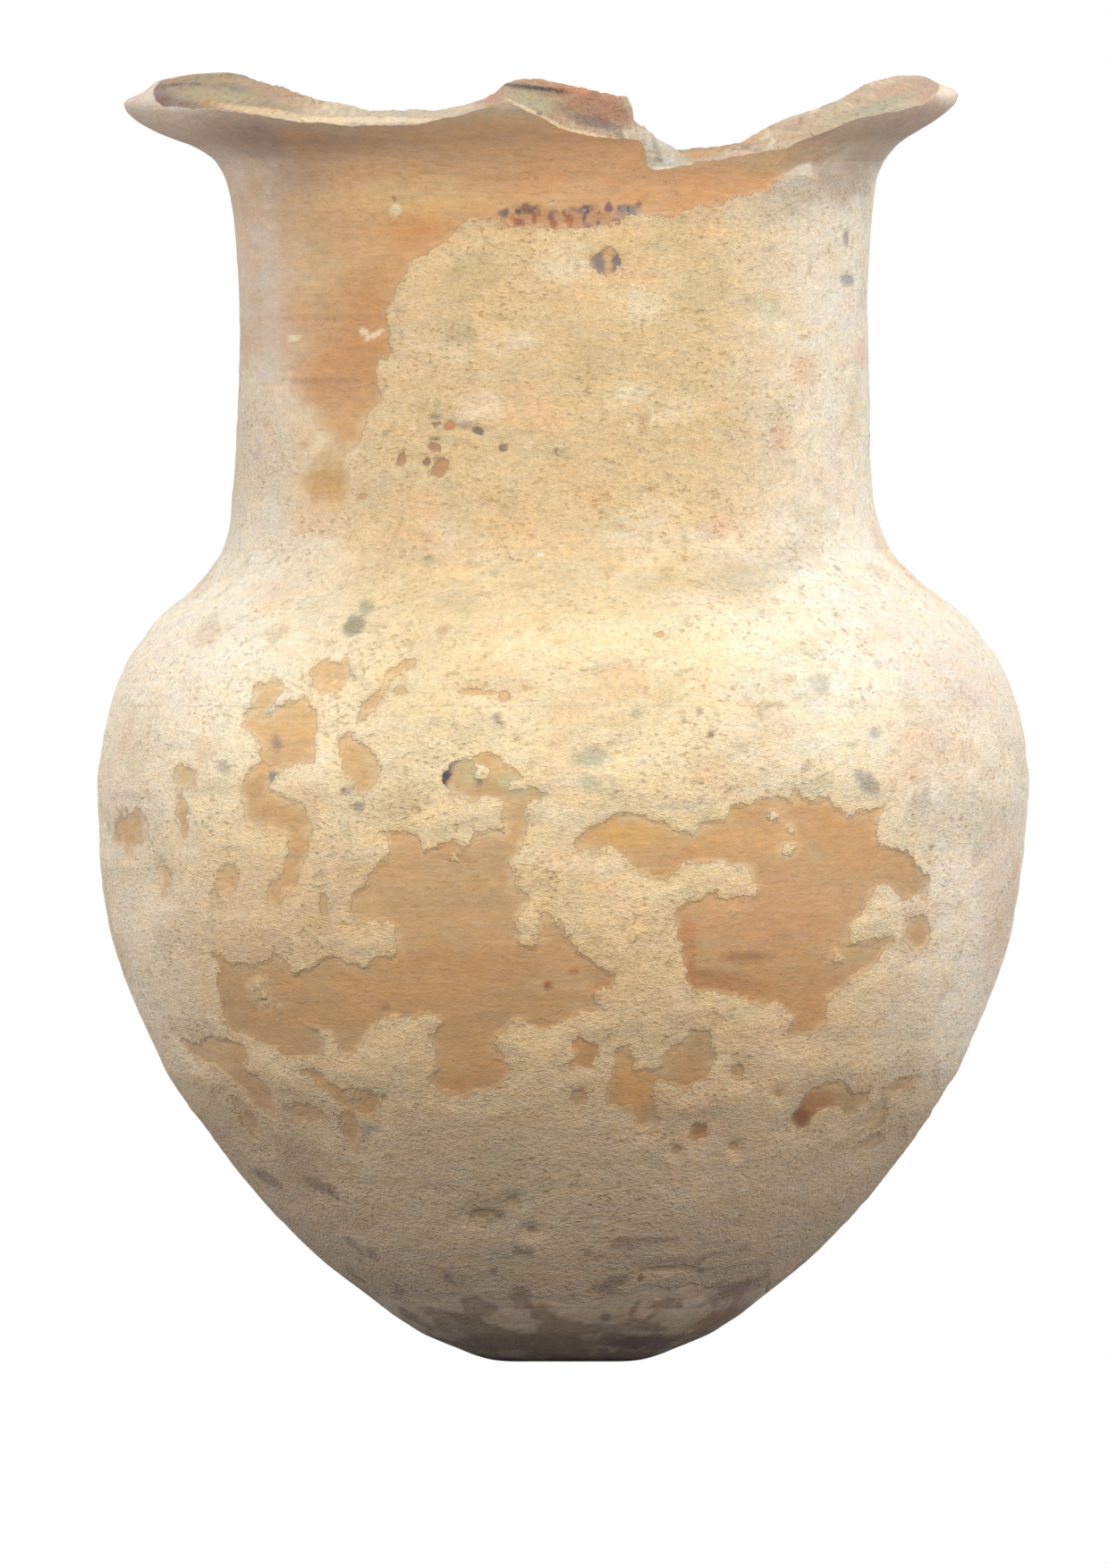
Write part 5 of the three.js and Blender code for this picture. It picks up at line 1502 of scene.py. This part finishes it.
    def flare(self, shop: Workshop, cut: RimCut, top: Numbers, use_seam: NDArray) -> Piece:
        """Make the flare: up its outer face, across its top and down its inner face.

        Args:
            shop: The jar's shape, colours and materials.
            cut: How the break crosses the rim.
            top: Points across the top by row and column.
            use_seam: Whether a top point lies under the lip.

        Returns:
            The flare.
        """
        angles, end = cut.angles, cut.whole.run[-1]
        outer_end = np.minimum(cut.leave, cut.roots[0])
        inner_end = np.maximum(cut.enter, cut.roots[1])
        rows = round(float(outer_end.max()) / self.outer_row)
        up = np.linspace(0, 1, rows + 1)[:-1, None] * outer_end
        down = inner_end + np.linspace(0, 1, rows // 4 + 1)[1:, None] * (end - inner_end)
        section = np.concatenate([cut.whole.at(up), top, cut.whole.at(down)])
        points = self.lay(shop.shape, angles, section)
        count, width = len(section), self.columns
        kind = np.repeat([0, 1, 2], [len(up), len(top), len(down)])[:, None].repeat(width, axis=1)
        kind[len(up), use_seam[0]] = 0
        kind[len(up) + len(top) - 1, use_seam[-1]] = 2
        runs = shop.shape.run_at(section[..., 1]).ravel()
        bare = shop.flaked.lost(points, np.tile(angles, count), runs)
        tint = self.tints(shop.colouring, points, kind.ravel(), bare)
        faces = grid_faces(count, width, True)
        row = np.repeat(np.arange(count), width * 2)
        slots = ((row >= len(up)) & (row < len(up) + len(top) - 1)).astype(int)
        piece = make_piece("thrown_rim_flare", points, faces, tint, [shop.clay, shop.fracture], slots)
        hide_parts("rim_flare")
        return piece

    def lip(self, shop: Workshop, name: str, node: str, middle: float, cut: RimCut) -> Piece:
        """Make one length of lip: over its bead, across the break and back along its root.

        Args:
            shop: The jar's shape, colours and materials.
            name: Name of the piece.
            node: The solid that it stands for.
            middle: An angle that it holds.
            cut: How the break crosses the rim.

        Returns:
            The lip.
        """
        angles, whole, roots, leave, enter = cut.angles, cut.whole, cut.roots, cut.leave, cut.enter
        size = np.where(cut.outer_above, leave - roots[0], 0) + np.where(cut.inner_above, roots[1] - enter, 0)
        stands = (cut.outer_above | cut.inner_above) & (size > self.least_lip)
        nearest = int(np.argmin(np.abs(np.abs(angles) - middle)))
        order = (np.arange(self.columns) + nearest + self.columns // 2) % self.columns
        centre = self.columns // 2
        gone = np.flatnonzero(~stands[order])
        low = gone[gone < centre].max() + 1
        high = gone[gone > centre].min() - 1
        pick = order[low:high + 1]

        outer_up, inner_up = cut.outer_above[pick], cut.inner_above[pick]
        here = cut.cross[pick]
        bead_share = np.linspace(0, 1, self.bead_rows)[:, None]
        bead = whole.at(roots[0] + bead_share * (leave[pick] - roots[0]))
        bead = np.where(outer_up[None, :, None], bead, here)
        back = whole.at(enter[pick] + bead_share * (roots[1] - enter[pick]))
        back = np.where(inner_up[None, :, None], back, here)
        row = np.arange(self.break_rows + 1)[:, None]
        begin = np.where(outer_up, 0, cut.cross_row[pick])
        end = np.where(inner_up, self.break_rows, cut.cross_row[pick])
        face = cut.face[np.clip(row, begin, end), pick]
        face[0] = np.where(outer_up[:, None], face[0], here)
        face[-1] = np.where(inner_up[:, None], face[-1], here)
        under_share = np.linspace(0, 1, 6)[1:-1, None, None]
        under = back[-1] + under_share * (bead[0] - back[-1])
        section = np.concatenate([bead, face, back, under])
        close = np.repeat(section[:, [0, -1]].mean(axis=0, keepdims=True), len(section), axis=0)
        section = np.concatenate([close[:, :1], section, close[:, 1:]], axis=1)
        turned = np.unwrap(angles[pick])
        turned = np.concatenate([[2 * turned[0] - turned[1]], turned, [2 * turned[-1] - turned[-2]]])

        points = self.lay(shop.shape, turned, section)
        kind = np.repeat([0, 1, 0, 1], [len(bead), len(face), len(back), len(under)])
        tint = self.tints(shop.colouring, points, np.repeat(kind, len(turned)))
        cells = grid_faces(len(section), len(turned), True)
        column = np.tile(np.repeat(np.arange(len(turned)), 2), len(section))
        row_of = np.repeat(np.arange(len(section)), len(turned) * 2)
        keep = column < len(turned) - 1
        slots = ((row_of >= len(bead) - 1) & (row_of < len(bead) + len(face))).astype(int)
        piece = make_piece(name, points, cells[keep], tint, [shop.clay, shop.fracture], slots[keep])
        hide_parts(node)
        return piece

    def lay(self, shape: JarShape, angles: Numbers, section: Numbers) -> Numbers:
        """Turn the columns' sections to their places round the jar. The crest sags at the left end."""
        radius, height = section[..., 0], section[..., 1]
        sag = self.sag * np.exp(-(((np.abs(angles) - math.pi) / self.sag_radians) ** 2))
        height = height - sag * unit_step(height, 332, 339)
        moved = radius + shape.relief(np.broadcast_to(angles, radius.shape), height)
        return shape.place(np.broadcast_to(angles, radius.shape), moved, height).reshape(-1, 3)

    def tints(
        self, colouring: Colouring, points: Numbers, kind: NDArray, bare: Numbers | None = None
    ) -> Numbers:
        """Colours of outer face, broken face and inner face."""
        outer, broken, inner = kind == 0, kind == 1, kind == 2
        colours = np.empty((len(points), 3))
        colours[outer] = colouring.clay(points[outer], None if bare is None else bare[outer])
        colours[broken] = colouring.fracture(points[broken])
        colours[inner] = colouring.inside(points[inner])
        return colours


class FlakedArea:
    """Where the crust has flaked off, as a distance inside the bare stretches and spots."""

    # How far round an outline or a spot its distance is worked out
    MARGIN = 9.0
    # How far noise moves the outlines: its broad part, its fine part, and the wandering round the back
    SWAY = 1.1
    FRAY = 0.9
    WANDER = 4.5
    # How deep the small flakes run that noise loses, and how much of it must stand out for one
    FLAKE_DEPTH = 15
    FLAKE_LEVEL = 0.36

    def __init__(self, shape: JarShape) -> None:
        """Unwrap the traced outlines on to the jar's wall."""
        self.shape = shape
        front = shape.unwrap(NECK_EDGE_FRONT, Side.FRONT)
        back = shape.unwrap(NECK_EDGE_BACK, Side.BACK)
        edge = np.vstack([front, back])
        meet = [[math.pi, edge[-1, 1]], [math.pi, 500.0], [-math.pi, 500.0], [-math.pi, edge[-1, 1]]]
        self.outlines = [np.vstack([edge, meet])]
        self.outlines += [shape.unwrap(outline, side) for side, outline in BARE_OUTLINES]

    def lost(self, clay: Numbers, angle: Numbers, run: Numbers) -> Numbers:
        """How far inside a bare place each point lies, with frayed outlines, spots and left crumbs.

        Args:
            clay: Points on the outer face.
            angle: Their angles round the axis.
            run: Their lengths along the outer face.

        Returns:
            Millimetres, negative under the crust.
        """
        radius = np.maximum(np.interp(run, self.shape.outer.run, self.shape.outer.points[:, 0]), 1.0)
        sway = self.SWAY * layered_noise(clay, 8, 2, 121) + self.FRAY * layered_noise(clay, 3, 2, 124)
        lift = self.FRAY * (layered_noise(clay, 8, 2, 127) + layered_noise(clay, 3, 2, 130))
        away = self.WANDER * unit_step(clay[:, 1], -30, 15)
        sway += away * layered_noise(clay, 17, 3, 141)
        lift += away * layered_noise(clay, 17, 3, 144)
        lost = self.depth(angle + sway / radius, run + lift, radius)
        flakes = layered_noise(clay, (30, 30, 16), 4, 147)
        flakes -= 0.9 * unit_step(clay[:, 1], 15, -25) + 0.5 * unit_step(clay[:, 2], 150, 195)
        deep = self.FLAKE_DEPTH * (flakes - self.FLAKE_LEVEL)
        lost = np.maximum(lost, np.where(clay[:, 2] > FOOT, deep, -self.MARGIN))
        front = clay[:, 1] < 0
        for across, up, half_width, half_height, degrees in (*BARE_SPOTS, (*WINDOW, 0.0)):
            right, rise = clay[:, 0] - across, clay[:, 2] - up
            near = front & (np.abs(right) < self.MARGIN) & (np.abs(rise) < self.MARGIN)
            if not near.any():
                continue
            along, over = turned_offsets(right[near], rise[near], degrees)
            over = np.hypot(along / half_width, over / half_height)
            wobble = 0.0 if half_width == WINDOW[2] else 0.4
            over += wobble * layered_noise(clay[near], 3, 2, 133)
            lost[near] = np.maximum(lost[near], (1 - over) * max(min(half_width, half_height), 2.4))
        for across, up, size in LEFT_CRUMBS:
            gap = np.hypot(clay[:, 0] - across, clay[:, 2] - up)
            near = front & (gap < 6)
            if near.any():
                over = gap[near] + layered_noise(clay[near], 2.4, 2, 136)
                lost[near] = np.minimum(lost[near], over - size)
        return lost

    def depth(self, angle: Numbers, run: Numbers, radius: Numbers) -> Numbers:
        """Signed distance to the nearest outline in the unwrapped wall, positive where it is bare.

        Args:
            angle: Angles round the jar.
            run: Lengths along the outer face.
            radius: Radius of the wall there.

        Returns:
            Millimetres inside a bare stretch, negative outside all of them.
        """
        deepest = np.full(len(angle), -self.MARGIN)
        for outline in self.outlines:
            margin = np.array([self.MARGIN / 60, self.MARGIN])
            low, high = outline.min(axis=0) - margin, outline.max(axis=0) + margin
            turned = angle + np.round(((low[0] + high[0]) / 2 - angle) / math.tau) * math.tau
            near = (turned > low[0]) & (turned < high[0]) & (run > low[1]) & (run < high[1])
            if not near.any():
                continue
            scale = np.stack([radius[near], np.ones(near.sum())], axis=-1)
            here = np.stack([turned[near], run[near]], axis=-1)
            deepest[near] = np.maximum(deepest[near], self.inside(here, scale, outline))
        return deepest

    def inside(self, here: Numbers, scale: Numbers, outline: Numbers) -> Numbers:
        """Signed distance to one closed outline: nearest point on its sides, signed by crossings.

        Args:
            here: Places as angle and length.
            scale: What turns their differences into millimetres.
            outline: Corners of the outline.

        Returns:
            Millimetres, positive inside.
        """
        nearest = np.full(len(here), 1e9)
        crossings = np.zeros(len(here), bool)
        for start, end in zip(outline, np.roll(outline, -1, axis=0)):
            side = (end - start) * scale
            offset = (here - start) * scale
            share = np.sum(offset * side, axis=1) / np.maximum(np.sum(side * side, axis=1), 1e-9)
            gap = offset - side * np.clip(share, 0, 1)[:, None]
            nearest = np.minimum(nearest, np.hypot(gap[:, 0], gap[:, 1]))
            if start[1] != end[1]:
                level = (start[1] > here[:, 1]) != (end[1] > here[:, 1])
                cross = start[0] + (here[:, 1] - start[1]) * (end[0] - start[0]) / (end[1] - start[1])
                crossings ^= level & (here[:, 0] < cross)
        return np.where(crossings, nearest, -nearest)


@dataclass(frozen=True)
class CrustSkin:
    """One skin of burial crust on the wall between two heights, with its bare stretches left out."""

    node: str
    below: float
    above: float
    front_columns: int = 400
    back_columns: int = 180
    row: float = 1.0
    film: float = 0.1
    edge: float = 0.4
    thickness: float = 1.1
    sunk: float = -0.7
    under: float = -1.0
    least_rise: float = -0.2
    lumps: float = 0.13
    pebbles: float = 0.1
    sand: float = 0.09

    def build(self, shop: Workshop) -> Piece:
        """Raise the crust's face over a grid on the wall and close it underneath.

        Args:
            shop: The jar's shape, colours, bare stretches and materials.

        Returns:
            The skin.
        """
        shape = shop.shape
        first, last = float(shape.run_at(self.below)), float(shape.run_at(self.above))
        run = np.linspace(first + JOINT_GAP, last - JOINT_GAP, round((last - first) / self.row) + 1)
        angles = column_angles(self.front_columns, self.back_columns)
        runs = np.repeat(run, len(angles))
        turned = np.tile(angles, len(run))
        wall = shape.face(runs)
        moved = wall[:, 0] + shape.relief(turned, wall[:, 1])
        clay = shape.place(turned, moved, wall[:, 1])
        lost = shop.flaked.lost(clay, turned, runs)
        rise = self.rise(clay, lost)
        corner, end = self.fading(clay)
        normal = shape.outer.normal(runs)

        def raised(outwards: Numbers) -> Numbers:
            """Points so far outside the clay."""
            return shape.place(turned, moved + normal[:, 0] * outwards, wall[:, 1] + normal[:, 1] * outwards)

        points = np.vstack([raised(rise), raised(np.full(len(rise), self.under))])
        faces = self.cells(rise.reshape(len(run), len(angles)))
        tint = shop.colouring.crust(clay)
        tint = tint_over(tint, WORN_EDGE, unit_step(lost, -1.6, -0.2) * 0.25)
        extras = {
            "under": np.tile(shop.colouring.clay(clay, lost), (2, 1)),
            "bare": np.tile(lost + 10 * end, 2),
            "fade": np.tile(np.maximum(corner, unit_step(end, 0, 0.1)), 2),
        }
        piece = make_piece(
            f"burial_{self.node}", points, faces, np.tile(tint, (2, 1)), [shop.crust],
            sharp_degrees=75, extras=extras,
        )
        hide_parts(self.node)
        return piece

    def fading(self, clay: Numbers) -> tuple[Numbers, Numbers]:
        """Where the crust fades instead of breaking off: the neck's left corner, the crust's two ends."""
        cloudy = 2.5 * layered_noise(clay, (7, 7, 4), 3, 57)
        across, up = clay[:, 0] + cloudy, clay[:, 2] + cloudy
        corner = neck_corner(across, clay[:, 1], up, (-52, -62), (200, 222))
        return corner, np.maximum(unit_step(up, FLARE - 5, FLARE - 2), unit_step(up, CAP + 7, CAP + 3))

    def rise(self, clay: Numbers, lost: Numbers) -> Numbers:
        """Height of the crust's face over the clay: lumpy and sandy, sunk where it has flaked off.

        Args:
            clay: Points on the clay.
            lost: How far each lies inside a bare place.

        Returns:
            Millimetres over the clay, below zero in the bare stretches.
        """
        lumps = self.lumps * layered_noise(clay, 15, 2, 148)
        lumps += self.pebbles * layered_noise(clay, (5, 5, 3), 2, 151)
        sand = self.sand * smooth_noise(clay, (2.4, 2.4, 1.6), 154)
        ends = unit_step(clay[:, 2], CAP, FOOT) * unit_step(clay[:, 2], FLARE + 1, FLARE - 14)
        corner = neck_corner(*clay.T, (-44, -66), (196, 226))
        grown = unit_step(lost, -1.0, -7.0) * ends * (1 - corner)
        grown = np.where(np.hypot(clay[:, 0] - WINDOW[0], clay[:, 2] - WINDOW[1]) < 8, 0.6, grown)
        edge = self.edge * ends * (1 - 0.6 * corner) * unit_step(lost, 0.6, -0.7)
        full = self.film + edge + (self.thickness - self.edge) * grown
        full += (lumps + sand) * (0.2 + 0.8 * grown) * ends
        rims = unit_step(clay[:, 2], FLARE - 0.2, FLARE - 2) * unit_step(clay[:, 2], CAP + 0.2, CAP + 2)
        cover = unit_step(lost, 1.9, 1.0) * (0.6 + 0.4 * rims)
        return self.sunk + (np.maximum(full, self.film) - self.sunk) * cover

    def cells(self, rise: Numbers) -> NDArray:
        """Triangles of the face, of the underside and of the edges between them.

        A cell is kept where one of its corners stands out of the clay. Where two kept cells only
        touch at a corner, the cell between them is kept too.

        Args:
            rise: Height over the clay by row and column.

        Returns:
            Three corner numbers to a row.
        """
        rows, columns = rise.shape
        right = np.roll(rise, -1, axis=1)
        kept = np.maximum.reduce([rise[:-1], right[:-1], rise[1:], right[1:]]) > self.least_rise
        for _ in range(3):
            east = np.roll(kept, -1, axis=1)
            first = kept[:-1] & east[1:] & ~east[:-1] & ~kept[1:]
            second = east[:-1] & kept[1:] & ~kept[:-1] & ~east[1:]
            kept[1:] |= first
            kept[:-1] |= second
        number = np.arange(rows * columns).reshape(rows, columns)
        after = np.roll(number, -1, axis=1)
        a, b, c, d = number[:-1], after[:-1], after[1:], number[1:]
        below = rows * columns
        sheets = []
        for p, q, r, s in ((a, b, c, d), (d + below, c + below, b + below, a + below)):
            sheets += [np.stack([p, q, r], -1)[kept], np.stack([p, r, s], -1)[kept]]
        empty = np.zeros((1, columns), bool)
        tall = np.vstack([empty, kept, empty])
        sides = (
            (kept & ~tall[:-2], a, b), (kept & ~tall[2:], c, d),
            (kept & ~np.roll(kept, 1, axis=1), d, a), (kept & ~np.roll(kept, -1, axis=1), b, c),
        )
        for open_edge, start, end in sides:
            p, q = start[open_edge], end[open_edge]
            sheets += [np.stack([p, p + below, q + below], -1), np.stack([p, q + below, q], -1)]
        return np.concatenate([sheet.reshape(-1, 3) for sheet in sheets])


@dataclass(frozen=True)
class Studio:
    """Plain pale floor, soft lamps, a white surround and the camera of the photograph."""

    view_centre: Pair = (-0.00213, 0.1527)
    view_height: float = 0.41466
    sky: float = 1.0
    key_watts: float = 13.0
    left_watts: float = 6.0
    right_watts: float = 8.5
    floor_radius: float = 1.7

    def build(self) -> None:
        """Make the floor, the surround, the lamps and the camera."""
        self.floor()
        self.surround()
        self.lamp("front_lamp", (0.0, -1.75, 0.45), 1.2, self.key_watts)
        self.lamp("left_lamp", (-1.7, -0.5, 0.5), 1.2, self.left_watts)
        self.lamp("right_lamp", (1.7, -0.5, 0.5), 1.2, self.right_watts)
        camera = put_in_scene("camera", bpy.data.cameras.new("camera"))
        camera.data.type = "ORTHO"
        camera.data.ortho_scale = self.view_height
        camera.data.clip_end = 20.0
        camera.location = (self.view_centre[0], -2.0, self.view_centre[1])
        camera.rotation_euler = (math.pi / 2, 0.0, 0.0)
        bpy.context.scene.camera = camera

    def floor(self) -> None:
        """A round pale floor, white to the camera and dull to the light that it would throw back."""
        angles = np.arange(96) * math.tau / 96
        rim = ring_points(angles, self.floor_radius, 0.0)
        mesh = bpy.data.meshes.new("floor")
        mesh.from_pydata(rim.tolist(), [], [list(range(96))])
        material, shop, shader = new_material("pale_floor")
        shader.inputs["Roughness"].default_value = 0.95
        seen = shop.add("ShaderNodeLightPath").outputs["Is Camera Ray"]
        shade = shop.span(seen, target=(0.16, 0.82))
        colour = shop.add("ShaderNodeCombineColor")
        for socket in colour.inputs:
            shop.join(shade, socket)
        shop.join(colour.outputs[0], shader.inputs["Base Color"])
        mesh.materials.append(material)
        floor = put_in_scene("floor", mesh)

    def surround(self) -> None:
        """A white surround to the eye, and an even soft light of a set strength on the jar."""
        world = bpy.data.worlds.new("surround")
        bpy.context.scene.world = world
        world.use_nodes = True
        shop = NodeShop(world.node_tree)
        background = world.node_tree.nodes["Background"]
        background.inputs["Color"].default_value = (1, 1, 1, 1)
        rays = shop.add("ShaderNodeLightPath").outputs
        seen = shop.sum("MAXIMUM", rays["Is Camera Ray"], rays["Is Transmission Ray"])
        seen = shop.sum("MAXIMUM", seen, rays["Is Glossy Ray"])
        shop.join(shop.span(seen, target=(self.sky, 1.0)), background.inputs["Strength"])

    def lamp(self, name: str, place: Triple, size: float, watts: float) -> None:
        """Hang a square soft lamp that faces the jar's middle.

        Args:
            name: Name of the lamp.
            place: Where it hangs, in metres.
            size: Its side in metres.
            watts: Its power.
        """
        data = bpy.data.lights.new(name, "AREA")
        data.shape = "SQUARE"
        data.size = size
        data.energy = watts
        lamp = put_in_scene(name, data)
        lamp.location = place
        lamp.rotation_euler = (Vector(place) - Vector((0, 0, 0.17))).to_track_quat("Z", "Y").to_euler()


SECTIONS: tuple[ThrownSection, ...] = (
    ThrownSection("base_cap", 0.0, FOOT),
    ThrownSection("lower_wall", FOOT, LOW_BELLY),
    ThrownSection("low_belly_wall", LOW_BELLY, MID_BELLY),
    ThrownSection("belly_wall", MID_BELLY, HIGH_BELLY),
    ThrownSection("shoulder_wall", HIGH_BELLY, NECK_ROOT),
    ThrownSection("neck_wall", NECK_ROOT, NECK_TOP, 580, 180, 0.8),
)
SKINS: tuple[CrustSkin, ...] = (
    CrustSkin("crust_foot", CAP, FLANK),
    CrustSkin("crust_flank", FLANK, LOW_BELLY),
    CrustSkin("crust_belly", LOW_BELLY, HIGH_BELLY),
    CrustSkin("crust_shoulder", HIGH_BELLY, NECK_ROOT),
    CrustSkin("crust_neck", NECK_ROOT, FLARE),
)


def main() -> None:
    """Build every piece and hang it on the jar's body."""
    logging.basicConfig(level=logging.INFO, format="%(name)s: %(message)s")
    groups = {"sandy_grain": sandy_grain(), "wheel_lines": wheel_lines(), "flake_edge": flake_edge()}
    shape = JarShape()
    shop = Workshop(
        shape, FlakedArea(shape), Colouring(), FIRED_CLAY.material(groups),
        BURIAL_CRUST.material(groups, FIRED_CLAY), FRESH_BREAK.material(groups),
    )
    pieces = [section.build(shop) for section in SECTIONS]
    pieces += BrokenRim().build(shop)
    pieces += [skin.build(shop) for skin in SKINS]
    for piece in pieces:
        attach(piece, "root")
    Studio().build()
    bpy.context.scene.view_settings.view_transform = "Standard"


if __name__ == "__main__":
    main()
